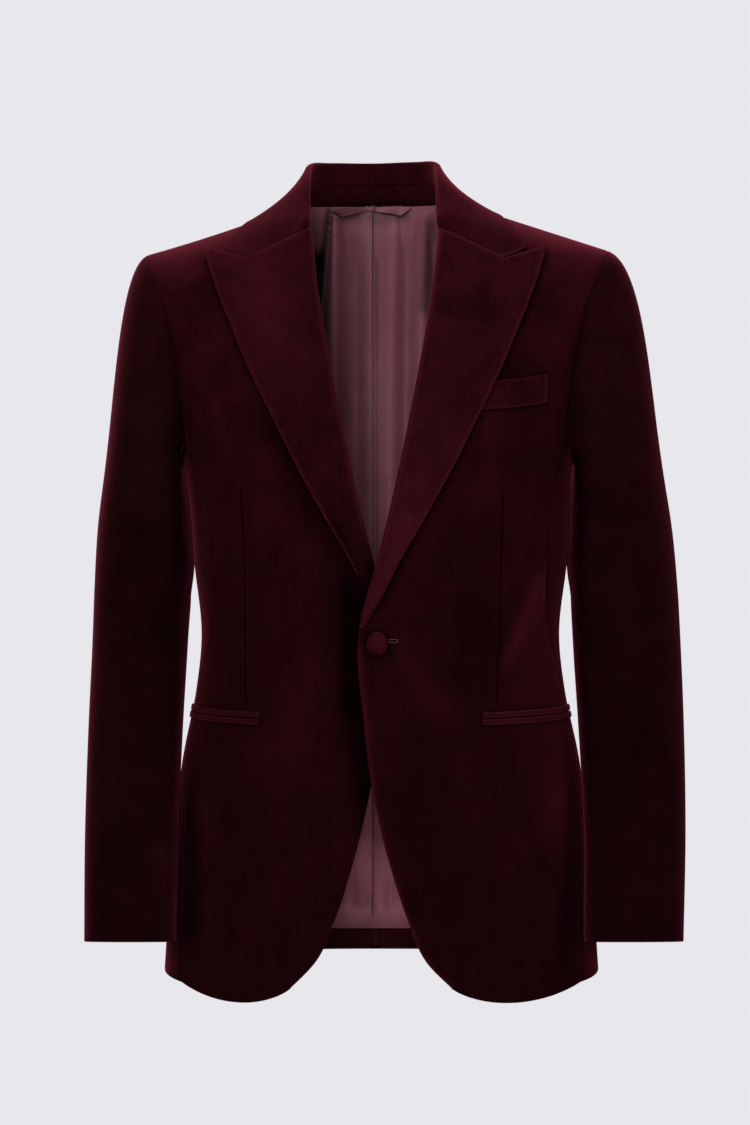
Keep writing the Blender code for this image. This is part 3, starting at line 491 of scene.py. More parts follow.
def cut_pile():
    """Node group for velvet: brushed patches, faint streaks down the cloth and the grain of the pile, with
    painted light and shade laid over them and painted highlights on sharp edges.
    """
    group, come, leave = new_group(
        "cut_pile", {"Deep": "Color", "Brushed": "Color", "Low Painted Shade": "Float", "High Painted Shade": "Float"},
        {"Colour": "Color", "Roughness": "Float", "Height": "Float"})
    place = put(group, "TexCoord").outputs["Object"]
    run = put(group, "Mapping", {"Vector": place, "Scale": (1.0, 1.0, 0.30)}).outputs["Vector"]
    patches = noise(group, place, 26.0, 5.0, Roughness=0.55, Distortion=0.6)
    streaks = noise(group, run, 80.0, 3.0, Roughness=0.55, Distortion=0.3)
    grain = noise(group, place, 520.0, 3.0, Roughness=0.55)
    z = put(group, "SeparateXYZ", {"Vector": place}).outputs["Z"]
    strength = ranged(group, z, -0.42, -0.08, 0.50, 1.45)
    brushed = maths(group, "MULTIPLY", maths(group, "SUBTRACT", patches, 0.47), strength)
    brushed = maths(group, "MULTIPLY_ADD", streaks, 0.55, brushed)
    brushed = maths(group, "MULTIPLY_ADD", grain, 0.90, brushed, clamp=True)
    # Painted shade: the share is lowered more towards the bottom, by the low and high amounts.
    least = ranged(group, z, -0.42, -0.06, come["Low Painted Shade"], come["High Painted Shade"])
    brushed = maths(group, "SUBTRACT", brushed, least, clamp=True)
    # Painted light from the strokes, and painted shade from them and from nearby cloth.
    light_and_shade = painted_light_of(group, 0.028, 2.8)
    share = maths(group, "ADD", brushed, light_and_shade["Light"], clamp=True)
    colour = mixed(group, share, come["Deep"], come["Brushed"])
    # Painted highlight: sharp edges of the cloth are lightened, for sheen on the turned pile.
    edge = ranged(group, put(group, "NewGeometry").outputs["Pointiness"], 0.535, 0.66, 0.0, 0.8)
    colour = mixed(group, edge, colour, (0.085, 0.016, 0.025, 1))
    feed(group, leave, {
        "Colour": mixed(group, 1.0, colour, light_and_shade["Shade"], "MULTIPLY"),
        "Roughness": ranged(group, patches, 0.0, 1.0, 0.98, 0.80),
        "Height": grain,
    })
    return group


def velvet_material(name, deep, brushed, low_painted_shade=0.54, high_painted_shade=0.28):
    """Velvet: deep where its pile is upright and brushed where it lies over, with a sheen at its edges;
    painted light and shade lie on that blend, and painted shade darkens it towards the bottom.
    """
    made, tree, shader = new_material(name)
    colours = {"Deep": (*deep, 1), "Brushed": (*brushed, 1), "Low Painted Shade": low_painted_shade, "High Painted Shade": high_painted_shade}
    pile = put(tree, "Group", colours, node_tree=PILE).outputs
    bump = put(tree, "Bump", {"Strength": 0.35, "Distance": 0.0004, "Height": pile["Height"]})
    feed(tree, shader, {
        "Base Color": pile["Colour"],
        "Roughness": pile["Roughness"],
        "Normal": bump.outputs["Normal"],
        "Specular IOR Level": 0.0,
        "Sheen Weight": 0.28,
        "Sheen Roughness": 0.42,
        "Sheen Tint": (0.46, 0.064, 0.108, 1),
    })
    return made


def satin_material(name, deep, lit):
    """Satin: a close warp-faced weave with a soft lustre."""
    made, tree, shader = new_material(name)
    place = put(tree, "TexCoord").outputs["Object"]
    warp = put(tree, "Mapping", {"Vector": place, "Scale": (1.0, 1.0, 0.06)}).outputs["Vector"]
    threads = noise(tree, warp, 900.0, 2.0)
    cloud = maths(tree, "MULTIPLY_ADD", noise(tree, place, 16.0, 3.0), 0.9, -0.2)
    share = maths(tree, "MULTIPLY_ADD", threads, 0.5, cloud, clamp=True)
    # Painted light and shade from the strokes, and painted shade near other cloth, multiply the satin's
    # colour.
    light_and_shade = painted_light_of(tree, 0.035, 2.0)
    bright = maths(tree, "MULTIPLY_ADD", light_and_shade["Light"], light_and_shade["Shade"], light_and_shade["Shade"])
    colour = mixed(tree, share, (*deep, 1), (*lit, 1))
    bump = put(tree, "Bump", {"Strength": 0.12, "Distance": 0.0003, "Height": threads})
    feed(tree, shader, {
        "Base Color": mixed(tree, 1.0, colour, bright, "MULTIPLY"),
        "Normal": bump.outputs["Normal"],
        "Roughness": 0.52,
        "Specular IOR Level": 0.14,
        "Sheen Weight": 0.15,
        "Sheen Tint": (0.8, 0.6, 0.65, 1),
    })
    return made


PAINTED_LIGHT_GROUP = painted_light_and_shade()
PILE = cut_pile()
BURGUNDY = (0.0085, 0.0013, 0.0016)
velvet = velvet_material("burgundy_velvet", BURGUNDY, (0.0330, 0.0038, 0.0066))
# Painted light: a lighter copy of the velvet for the left lapel, lightest at its foot.
painted_lit_lapel_velvet = velvet_material("painted_lit_lapel_velvet", BURGUNDY, (0.0400, 0.0048, 0.0082), 0.12, 0.36)
# Painted shade: a darker copy of the velvet for the sleeves.
painted_shade_sleeve_velvet = velvet_material("painted_shade_sleeve_velvet", (0.0066, 0.0013, 0.0015), (0.0190, 0.0030, 0.0040))
# Painted light: a lighter copy of the jacket's velvet for the pocket jets.
jet_velvet = velvet_material("jet_velvet", (0.0110, 0.0016, 0.0020), (0.0480, 0.0062, 0.0100), 0.34)
# Painted light: a lighter copy of the jacket's velvet for the back panels' inside, seen at the turn-up of the
# hem.
turn_up_velvet = velvet_material("turn_up_velvet", (0.022, 0.0034, 0.0045), (0.070, 0.0110, 0.0150))
satin = satin_material("mauve_satin", (0.160, 0.047, 0.062), (0.290, 0.100, 0.128))


def cloth_piece(name, points, wall, faces, painted_strokes=()):
    """A piece of cloth with its outside through a grid of points, given its wall inwards.

    The strokes given are painted light (above 0) and painted shade (below 0) on its colour.
    """
    rows, columns, _ = points.shape
    bpy.ops.object.select_all(action="DESELECT")
    bpy.ops.mesh.primitive_grid_add(
        x_subdivisions=columns - 1, y_subdivisions=rows - 1, size=1, calc_uvs=True)
    piece = bpy.context.active_object
    piece.name = piece.data.name = name
    piece.data.vertices.foreach_set("co", np.ascontiguousarray(points, np.float32).ravel())
    piece.data.update()
    for face in faces:
        piece.data.materials.append(face)
    full = np.ones((rows, columns), bool)
    for down in (slice(0, CORNER), slice(-CORNER, None)):
        full[down, :CORNER] = full[down, -CORNER:] = False
    piece.vertex_groups.new(name="full").add(np.flatnonzero(full).tolist(), 1.0, "REPLACE")
    thicken = piece.modifiers.new("wall", "SOLIDIFY")
    thicken.thickness = wall
    thicken.offset = -1
    thicken.vertex_group = "full"
    thicken.thickness_vertex_group = CORNER_WALL
    bpy.ops.object.modifier_apply(modifier="wall")
    inner = np.full((rows - 1, columns - 1), len(faces) - 1, np.int32)
    if faces[-1] is satin:
        inner[:TURN_UP] = inner[-TURN_UP:] = 0
        inner[:, :TURN_UP] = inner[:, -TURN_UP:] = 0
    face_of = np.zeros(len(piece.data.polygons), np.int32)
    face_of[inner.size:2 * inner.size] = inner.ravel()
    piece.data.polygons.foreach_set("material_index", face_of)
    places = np.array([(vertex.co.x, vertex.co.z) for vertex in piece.data.vertices])
    # The strokes of painted light and shade, kept on the points for the materials to read.
    piece.data.attributes.new("painted_strokes", "FLOAT", "POINT").data.foreach_set("value", along_lines(places, painted_strokes))
    bpy.ops.object.shade_smooth_by_angle(angle=SMOOTH_ANGLE)
    return piece


def dressed(piece, node, slot, flat, area, held="hung", rests_on=()):
    """The piece stands for its node, whose solid it hides, and rides on the jacket."""
    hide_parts(node)
    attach(piece, "root")


rows = (BODY_ROWS, ARMHOLE_ROWS, YOKE_ROWS)
grids, shoulder_columns = {}, {}
for side, word in SIDE_NAMES.items():
    front, shoulder_columns[side] = front_grid(side, rows)
    front = uneven(front, UNEVEN_HEIGHT, FRONT_WAVE)
    front = creased(front, FRONT_FOLDS[side], front[..., ::2])
    x, z = front[..., 0], front[..., 2]
    dart = DART_DEPTH * np.exp(-((x - dart_x(side, z)) / DART_WIDTH)**2)
    front[..., 1] += dart * ramp(z, *DART_FOOT) * ramp(z, *DART_HEAD)
    grids["front_" + word] = front


# Side panels: narrow pieces of the same velvet under the arms, sewn to the front and the back.
UNDERARM_BACK_Z, BACK_HEM_Z, UNDERARM_DIP = -0.205, -0.7310, 0.014
BACK_SEAM_SHARE = 0.93
SIDE_COLUMNS = 30


def side_grid(side, columns, rows):
    """Outside of a side panel, between the front and back seams, from hem to underarm."""
    z_front = stations(FRONT_SIDE_HEM_Z, UNDERARM_FRONT_Z, YOKE_Z, (rows[0], 0))[:, None]
    z_back = stations(BACK_HEM_Z, UNDERARM_BACK_Z, YOKE_Z, (rows[0], 0))[:, None]
    u = np.linspace(0, 1, columns + 1)
    dip = UNDERARM_DIP * ramp(z_front, -0.40, UNDERARM_FRONT_Z) * np.sin(math.pi * u)
    start = angle_of(front_seam_share(z_front))
    end = math.pi - angle_of(np.full_like(z_back, BACK_SEAM_SHARE))
    return body_point(side, start + (end - start) * u, z_front + (z_back - z_front) * u - dip)


for side, word in SIDE_NAMES.items():
    grids["side_panel_" + word] = side_grid(side, SIDE_COLUMNS, rows)


# Back panels: two pieces of velvet sewn together down the middle of the back, from the collar to the hem.
BACK_NECK = np.array([0.0, 0.088, 0.0090])
NECK_SHARE, NECK_COLUMNS, YOKE_COLUMNS, YOKE_SOFTNESS = 0.375, 30, 96, 16
BACK_WAVE = 0.17
BACK_FOLDS = {
    # start x and z, end x and z, width, height
    LEFT: [
        (0.155, -0.385, 0.055, -0.445, 0.016, 0.0022),
        (0.150, -0.425, 0.070, -0.470, 0.014, -0.0016),
        (0.165, -0.230, 0.125, -0.330, 0.016, 0.0024),
        (0.060, -0.560, 0.075, -0.700, 0.026, 0.0018),
    ],
    RIGHT: [
        (-0.155, -0.375, -0.060, -0.440, 0.016, 0.0022),
        (-0.150, -0.415, -0.080, -0.462, 0.014, -0.0016),
        (-0.165, -0.235, -0.120, -0.320, 0.016, 0.0024),
        (-0.065, -0.570, -0.085, -0.700, 0.026, 0.0018),
    ],
}


def neck_line(side, t):
    """The back neck seam from the centre of the back (t 0) to the neck point (t 1)."""
    turn = np.asarray(t, float)[..., None] * math.pi / 2
    corner = np.array([0, NECK_POINT[side][1], NECK_POINT[side][2]])
    return corner + (NECK_POINT[side] - corner) * np.sin(turn) + (BACK_NECK - corner) * np.cos(turn)


def even_out(lines, passes, own=2):
    """Moves all but the first and last of these lines of points towards the lines beside them."""
    for _ in range(passes):
        lines[1:-1] = (lines[:-2] + own * lines[1:-1] + lines[2:]) / (own + 2)


def softened(rows, columns):
    """The rows evened out across their columns, most at the first and not at all at the last."""
    even = rows.copy()
    even_out(np.swapaxes(even, 0, 1), columns * columns // YOKE_SOFTNESS)
    keep = np.linspace(0, 1, len(rows) + 1)[1:, None, None]**3
    return rows * keep + even * (1 - keep)


def back_lower(side, u, rows, hem):
    """The back below the yoke, at these shares across it."""
    z = stations(hem, UNDERARM_BACK_Z, YOKE_Z, rows)
    armhole_share = armhole_x(z)[:, 1] / section(side, z)[0]
    outer = math.pi - angle_of(np.where(z < UNDERARM_BACK_Z + 1e-6, BACK_SEAM_SHARE, armhole_share))
    return body_point(side, math.pi + (outer[:, None] - math.pi) * u, z[:, None] + 0 * u)


def back_grid(side, u, rows, hem=BACK_HEM_Z):
    """Outside of a back panel, from hem to shoulder and from the centre seam to the side seam or armhole."""
    even = np.linspace(0, 1, YOKE_COLUMNS + 1)
    neck = neck_line(side, even[even < NECK_SHARE - 1e-9] / NECK_SHARE)
    seam = shoulder_seam(side, (even[even > NECK_SHARE - 1e-9] - NECK_SHARE) / (1 - NECK_SHARE))
    arrive = np.stack([np.zeros_like(even), -ramp(even, 0, 0.4), 1.0 - 0.9 * ramp(even, 0, 0.4)], -1)
    yoke = loft_up(back_lower(side, even, rows, hem), np.concatenate([neck, seam]), arrive, rows[2])
    yoke = softened(yoke, YOKE_COLUMNS)
    at = np.stack([[np.interp(u, even, row[:, k]) for row in yoke] for k in range(3)], -1)
    return np.concatenate([back_lower(side, u, rows, hem), at])


for side, word in SIDE_NAMES.items():
    neck_columns = np.linspace(0, NECK_SHARE, NECK_COLUMNS + 1)[:-1]
    back_columns = np.concatenate([neck_columns, NECK_SHARE + (1 - NECK_SHARE) * shoulder_columns[side]])
    grids["back_" + word] = back_grid(side, back_columns, rows)


# Sleeves: a top piece and an under piece of velvet each, joined by two seams and set into the armhole. They
# hang open at the cuff, a little in front of the hips.
SLEEVE_CAP_Z = -0.300
SLEEVE = np.array([
    # z, left_x, left_half, right_x, right_half, middle_y, half_depth
    (-0.300, 0.2380, 0.0470, 0.2240, 0.0425, 0.004, 0.066),
    (-0.360, 0.2394, 0.0512, 0.2232, 0.0464, 0.004, 0.063),
    (-0.417, 0.2418, 0.0516, 0.2255, 0.0458, 0.000, 0.058),
    (-0.500, 0.2446, 0.0503, 0.2285, 0.0450, -0.018, 0.053),
    (-0.600, 0.2453, 0.0478, 0.2297, 0.0440, -0.050, 0.049),
    (-0.697, 0.2414, 0.0464, 0.2284, 0.0429, -0.082, 0.0455),
])
SLEEVE_FRONT_SEAM, SLEEVE_BACK_SEAM = math.radians(146), math.radians(250)
CUFF_TILT = 0.13
CAP_RISE, CAP_LEAN, UNDERARM_SLANT = 0.95, 0.15, 0.45
CAP_REACH = {LEFT: 0.50, RIGHT: 0.40}
SLEEVE_ROWS, CAP_ROWS = 84, 54
CAP_JOIN_ROWS, CAP_JOIN_PASSES, SLEEVE_SETTLED = 16, 36, 0.25
SLEEVE_GIRTH, SLEEVE_SEAM_ROUND = 0.052, 0.0004
TOUCH_TOP, TOUCH_HIGH, TOUCH_LOW, TOUCH_FOOT = -0.232, -0.244, -0.334, -0.378
TOUCH_TURN, TOUCH_MOST, TOUCH_GAP = math.radians(50), 0.022, 0.0002
SLEEVE_FOLDS = {
    # start turn in degrees and z, end turn and z, width, height
    LEFT: [
        (120, -0.300, 60, -0.375, 0.012, 0.0035),
        (130, -0.345, 70, -0.420, 0.012, -0.0026),
        (140, -0.395, 75, -0.455, 0.012, 0.0035),
        (95, -0.445, 80, -0.520, 0.012, 0.0022),
        (60, -0.520, 95, -0.640, 0.014, 0.0026),
        (-40, -0.400, -90, -0.470, 0.014, 0.0032),
        (-30, -0.300, -75, -0.380, 0.016, 0.0026),
    ],
    RIGHT: [
        (120, -0.310, 65, -0.385, 0.012, 0.0035),
        (132, -0.355, 72, -0.425, 0.012, -0.0026),
        (140, -0.405, 80, -0.465, 0.012, 0.0032),
        (130, -0.560, 100, -0.650, 0.010, 0.0032),
        (55, -0.500, 85, -0.620, 0.014, 0.0022),
        (-40, -0.400, -90, -0.470, 0.014, 0.0032),
        (-30, -0.300, -75, -0.380, 0.016, 0.0026),
    ],
}
sleeve_section = smooth_line(SLEEVE[::-1, 0], SLEEVE[::-1, 1:])


def armhole_loop(front, back, rows):
    """The armhole's points over the shoulder, from the front side seam to the back one."""
    return np.concatenate([front[rows[0]:, -1], back[rows[0]:-1, -1][::-1]])


def sleeve_ring(side, turn, z):
    """A sleeve's section; turn 0 is outside, 90 degrees front, 180 inside and 270 back."""
    values = sleeve_section(z)
    x, half = (values[..., 0], values[..., 1]) if side == LEFT else (values[..., 2], values[..., 3])
    middle, depth = values[..., 4], values[..., 5]
    tilt = CUFF_TILT * ramp(z, SLEEVE[2, 0], SLEEVE[-1, 0])
    y = middle - depth * np.sin(turn)
    return np.stack(np.broadcast_arrays(side * (x + half * np.cos(turn)), y, z - tilt * (y - middle)), -1)


def sleeve_grid(side, edge, turn):
    """Outside of a sleeve piece, from the cuff to the armhole points in edge, at these turns."""
    heights = np.linspace(SLEEVE[-1, 0], SLEEVE_CAP_Z, SLEEVE_ROWS + 1)
    tube = sleeve_ring(side, turn[None, :], np.broadcast_to(heights[:, None], (len(heights), len(turn))))
    start = tube[-1]
    over = (np.cos(turn / 2)**2)[:, None]
    reach = np.linalg.norm(edge - start, axis=-1, keepdims=True)
    leave = unit(unit(tube[-1] - tube[-2]) - np.array([side * CAP_LEAN, 0, 0]) * over) * reach * CAP_RISE
    inward = -unit(edge * np.array([1, 1, 0]))
    ending = np.maximum(over, UNDERARM_SLANT)
    arrive = unit(inward * ending + np.array([0, 0, 1.0]) * (1 - 0.7 * ending))
    t = np.linspace(0, 1, CAP_ROWS + 1)[1:, None, None]
    sleeve = np.concatenate([tube, hermite(start, leave, edge, arrive * reach * CAP_REACH[side], t)])
    even_out(sleeve[SLEEVE_ROWS - CAP_JOIN_ROWS - 1:SLEEVE_ROWS + CAP_JOIN_ROWS + 1], CAP_JOIN_PASSES)
    return sleeve


def touching(side, sleeve, turn):
    """The sleeve with its inside brought against the body from the underarm to the waist."""
    x, z = side * sleeve[..., 0], sleeve[..., 2]
    near = np.exp(-((np.mod(turn, 2 * math.pi)[None, :] - math.pi) / TOUCH_TURN)**2)
    near = near * ramp(z, TOUCH_FOOT, TOUCH_LOW) * ramp(z, TOUCH_TOP, TOUCH_HIGH)
    short = np.clip(x - section(side, z)[0] - TOUCH_GAP, 0, TOUCH_MOST)
    return sleeve - np.stack([side * short * near, 0 * z, 0 * z], -1)


def spread(points, start, end):
    """Turns from start to end, spaced as the points are along their line."""
    run = run_along(points)
    return start + (end - start) * run / run[-1]


for side, word in SIDE_NAMES.items():
    front, back, under = (grids[name + word] for name in ("front_", "back_", "side_panel_"))
    loop = armhole_loop(front, back, rows)
    tip = YOKE_ROWS + ARMHOLE_ROWS
    turns = {
        "sleeve_top_": np.concatenate([spread(loop[:tip + 1], SLEEVE_FRONT_SEAM, 0),
                                       spread(loop[tip:], 0, SLEEVE_BACK_SEAM - 2 * math.pi)[1:]]),
        "sleeve_under_": spread(under[-1], SLEEVE_FRONT_SEAM, SLEEVE_BACK_SEAM),
    }
    for name, edge in (("sleeve_top_", loop), ("sleeve_under_", under[-1])):
        sleeve = touching(side, sleeve_grid(side, edge, turns[name]), turns[name])
        girth = np.broadcast_to(turns[name][None] * SLEEVE_GIRTH, sleeve.shape[:2])
        sense = -side if name == "sleeve_top_" else side
        folds = [(math.radians(a) * SLEEVE_GIRTH, b, math.radians(c) * SLEEVE_GIRTH, d, width, height * sense)
                 for a, b, c, d, width, height in SLEEVE_FOLDS[side]]
        bent = creased(sleeve, folds, np.stack([girth, sleeve[..., 2]], -1))
        settled = ramp(np.linspace(1, 0, len(sleeve)), 0.0, SLEEVE_SETTLED)[:, None, None]
        grids[name + word] = sleeve + (bent - sleeve) * settled
    grids["back_" + word] = creased(uneven(back, UNEVEN_HEIGHT, BACK_WAVE), BACK_FOLDS[side], back[..., ::2])

BORDERS = {
    # radius of the roll at the first and last column, and at the foot and top row
    "front_": (EDGE_ROUND, SEAM_ROUND, EDGE_ROUND, SEAM_ROUND),
    "side_panel_": (SEAM_ROUND, SEAM_ROUND, EDGE_ROUND, SEAM_ROUND),
    "back_": (SEAM_ROUND, SEAM_ROUND, EDGE_ROUND, SEAM_ROUND),
    "sleeve_top_": (SLEEVE_SEAM_ROUND, SLEEVE_SEAM_ROUND, EDGE_ROUND, SEAM_ROUND),
    "sleeve_under_": (SLEEVE_SEAM_ROUND, SLEEVE_SEAM_ROUND, EDGE_ROUND, SEAM_ROUND),
}
PANEL_CUT = {
    # width and length of the cloth it is cut from, and the area of the cut
    "front_left": ((0.233, 0.807), 0.1388),
    "front_right": ((0.220, 0.803), 0.1303),
    "side_panel_left": ((0.130, 0.532), 0.0542),
    "side_panel_right": ((0.130, 0.532), 0.0540),
    "back_left": ((0.281, 0.789), 0.1525),
    "back_right": ((0.276, 0.786), 0.1471),
    "sleeve_top_left": ((0.424, 0.680), 0.1494),
    "sleeve_top_right": ((0.413, 0.672), 0.1386),
    "sleeve_under_left": ((0.114, 0.522), 0.0474),
    "sleeve_under_right": ((0.111, 0.519), 0.0463),
}
UNDERARM_SHADE = {
    # start x and z, end x and z, width, how much painted light, negative for painted shade: painted shade
    # where the sleeves meet the body, painted light on the shoulders
    LEFT: (0.189, -0.232, 0.189, -0.345, 0.006, -0.80),
    RIGHT: (-0.180, -0.232, -0.180, -0.355, 0.006, -0.80),
}
SHOULDER_LIGHT = {
    LEFT: (0.110, -0.012, 0.205, -0.050, 0.022, 0.55),
    RIGHT: (-0.110, -0.012, -0.200, -0.050, 0.022, 0.55),
}
# Painted light (above 0) and painted shade (below 0) on each panel's colour: light on folds, sides and edges,
# shadow beside the left front's edge and under the right lapel.
PANEL_PAINTED_LIGHT = {
    "front_left": [
        (0.160, -0.352, 0.122, -0.441, 0.009, 0.75),
        (0.166, -0.390, 0.142, -0.470, 0.022, 0.40),
        (0.016, -0.416, 0.067, -0.491, 0.017, 0.22),
        (0.165, -0.490, 0.172, -0.600, 0.022, 0.35),
        (0.179, -0.540, 0.194, -0.710, 0.011, 0.60),
        (0.085, -0.290, 0.095, -0.460, 0.026, -0.25),
        (0.130, -0.110, 0.150, -0.260, 0.032, -0.28),
        (-0.0145, -0.410, -0.0040, -0.560, 0.004, 0.45),
        (0.030, -0.560, 0.085, -0.700, 0.035, -0.15),
    ],
    "front_right": [
        (-0.0250, -0.350, -0.0245, -0.474, 0.013, -0.78),
        (-0.0245, -0.462, 0.0010, -0.625, 0.013, -0.78),
        (-0.1020, -0.205, -0.0360, -0.345, 0.013, -0.50),
        (-0.060, -0.440, -0.095, -0.540, 0.030, 0.22),
        (-0.165, -0.560, -0.170, -0.700, 0.018, 0.22),
    ],
    "side_panel_left": [(0.184, -0.440, 0.204, -0.730, 0.018, 0.90)],
    "side_panel_right": [(-0.180, -0.600, -0.192, -0.730, 0.008, 0.50)],
    "sleeve_top_left": [
        (0.215, -0.360, 0.245, -0.430, 0.012, 0.25),
        (0.250, -0.460, 0.235, -0.560, 0.018, -0.25),
        (0.270, -0.250, 0.285, -0.420, 0.012, 0.20),
    ],
    "sleeve_top_right": [
        (-0.201, -0.600, -0.185, -0.690, 0.008, 0.60),
        (-0.225, -0.300, -0.205, -0.420, 0.020, -0.20),
        (-0.255, -0.420, -0.245, -0.600, 0.012, 0.20),
    ],
}
# Painted highlight along the left front's edge below this height.
EDGE_LIGHT, EDGE_LIGHT_TOP = 1.2, -0.41
TURNED_ROUND = {"front_": 1, "side_panel_": 1, "back_": -1, "sleeve_top_": 1, "sleeve_under_": -1}


def kind_and_side(name):
    """A panel's kind and side, from its name."""
    return (name[:-4], LEFT) if name.endswith("left") else (name[:-5], RIGHT)


def panel_strokes(name, grid):
    """Where light and shade are painted on a panel's colour."""
    kind, side = kind_and_side(name)
    strokes = list(PANEL_PAINTED_LIGHT.get(name, []))
    strokes.append(SHOULDER_LIGHT[side] if kind == "back_" else UNDERARM_SHADE[side])
    if kind == "front_":
        strokes.append(SHOULDER_LIGHT[side])
    if name == "front_left":
        strokes += rim(grid[grid[:, 0, 2] < EDGE_LIGHT_TOP, 0], EDGE_LIGHT)
    return strokes


for name in grids:
    kind, side = kind_and_side(name)
    grids[name] = outward(grids[name], side * TURNED_ROUND[kind])
facing = shared_normals(grids)
for name, grid in grids.items():
    kind, side = kind_and_side(name)
    flipped = side * TURNED_ROUND[kind] == RIGHT
    sewn, away = grid, facing[name]
    for number, radius in enumerate(BORDERS[kind]):
        axis, last = (1, (number == 1) != flipped) if number < 2 else (0, number == 3)
        turning = EDGE_TURNING if radius == EDGE_ROUND or kind == "back_" else SEAM_TURNING
        sewn, away = turned(sewn, away, axis, last, radius, turning)
    inside = turn_up_velvet if kind == "back_" else satin
    # Sleeves wear the darker copy of the velvet, painted shade.
    outside = painted_shade_sleeve_velvet if kind.startswith("sleeve") else velvet
    piece = cloth_piece("velvet_" + name, sewn, VELVET_WALL, [outside, inside], panel_strokes(name, grid))
    dressed(piece, name, "velvet", *PANEL_CUT[name])


# Collar: one strip of velvet folded over round the neck, its leaf lying on the shoulders as far as the
# notches. Its band stands inside the back of the neck, sewn to the neck seam.
COLLAR_CENTRE_X, COLLAR_LEFT_RISE = -0.0018, 0.03
COLLAR_WALL, COLLAR_RADIUS = 0.0022, 0.0036
COLLAR = np.array([
    # fold_x, fold_y, fold_z, edge_x, edge_y, edge_z
    (0.0605, -0.0440, -0.0222, 0.1470, -0.038, -0.0405),
    (0.0602, -0.020, -0.0010, 0.1310, -0.012, -0.0250),
    (0.0606, 0.012, 0.0290, 0.1160, 0.014, -0.0090),
    (0.0575, 0.045, 0.0465, 0.0930, 0.056, -0.0040),
    (0.0380, 0.074, 0.0515, 0.0560, 0.086, 0.0000),
    (0.0000, 0.085, 0.0528, 0.0000, 0.0975, 0.0030),
])
COLLAR_NOTCH_AT, COLLAR_NOTCH_DEPTH, COLLAR_NOTCH_FADE = 0.69, 0.0185, 0.14
COLLAR_LIFT, COLLAR_EDGE_LIFT = 0.0040, 0.0027
COLLAR_TUCK, COLLAR_DEEP_TUCK, COLLAR_SPREAD = 0.0040, 0.0045, 0.0022
CLEAR_PASSES, LEAF_PASSES, LEAF_STIFFNESS = 3, 6, 6
TUCK_IN, TUCK_OUT, LEAF_FLAT, END_FLAT, END_UNDER = 0.10, 0.55, (0.35, 1), (0.09, 0.03), (0.06, 0)
COLLAR_LEG, LEG_SLANT, LEG_GROWS, LEG_LEANS = (0.0042, 0.0225), 0.45, (0, 0.55), (0.15, 0.45)
COLLAR_STATIONS, LEAF_STEPS, FOLD_STEPS, LEG_STEPS = 144, 28, 12, 8
BAND_GAP, BAND_TURNING, BAND_DROP, BAND_WALL = 0.0003, 0.0060, 0.0050, 0.0020
BAND_SKIP, BAND_STEPS = 30, 12
NECK_FRONT = np.array([0.0655, -0.040, -0.028])
FRONT_SPARE = 0.04
PLAIN_FRONT_ROWS, PLAIN_FRONT_COLUMNS = (52, 12, 20), 40
PLAIN_BACK_ROWS, PLAIN_BACK_COLUMNS = (40, 12, 20), 64


def collar_stations(count):
    """Fold points, leaf edge points and share from the ends (0) to the back (1), round the neck."""
    table = COLLAR.reshape(-1, 2, 3)
    mirrored = table[-2::-1] * np.array([-1, 1, 1])
    whole = np.concatenate([table, mirrored])[::-1]
    whole = whole + np.array([COLLAR_CENTRE_X, 0, 0])
    whole[..., 2] += COLLAR_LEFT_RISE * np.maximum(whole[..., 0], 0)
    s = np.linspace(-1, 1, len(whole))
    t = np.linspace(-1, 1, count + 1)
    line = smooth_line(s, whole)(t)
    return line[:, 0], line[:, 1], 1 - np.abs(t)


def tree_of(grids):
    """A search tree of the surfaces of these grids."""
    points, faces = [], []
    for grid in grids:
        count, columns, _ = grid.shape
        first = len(points)
        points += [Vector(p) for p in grid.reshape(-1, 3)]
        for r in range(count - 1):
            for c in range(columns - 1):
                k = first + r * columns + c
                faces += [(k, k + 1, k + columns + 1), (k, k + columns + 1, k + columns)]
    return BVHTree.FromPolygons(points, faces)


def clear_of(tree, points, lift):
    """The points, moved out where they lie nearer than their lift to the cloth: forward on the chest."""
    moved = points.reshape(-1, 3).copy()
    for number, (point, least) in enumerate(zip(moved, lift.ravel())):
        near, normal, _, _ = tree.find_nearest(Vector(point))
        short = least - (Vector(point) - near).dot(normal)
        chest = float(ramp(normal.y, -0.2, -0.6))
        way = (normal * (1 - chest) + Vector((0, -1, 0)) * chest).normalized()
        if short > 0:
            moved[number] += np.array(way * (short / way.dot(normal)))
    return moved.reshape(points.shape)


def neck_round(count):
    """The neck seam at each collar station: down the right front, round the back and down the left front."""
    points = []
    for t in np.linspace(-1, 1, count + 1):
        side = LEFT if t > 0 else RIGHT
        back_share = 1 - 2 * BAND_SKIP / count
        if abs(t) <= back_share:
            points.append(neck_line(side, abs(t) / back_share))
        else:
            down = (abs(t) - back_share) / (1 - back_share)
            points.append(NECK_POINT[side] + (NECK_FRONT * np.array([side, 1, 1]) - NECK_POINT[side]) * down)
    return np.array(points)


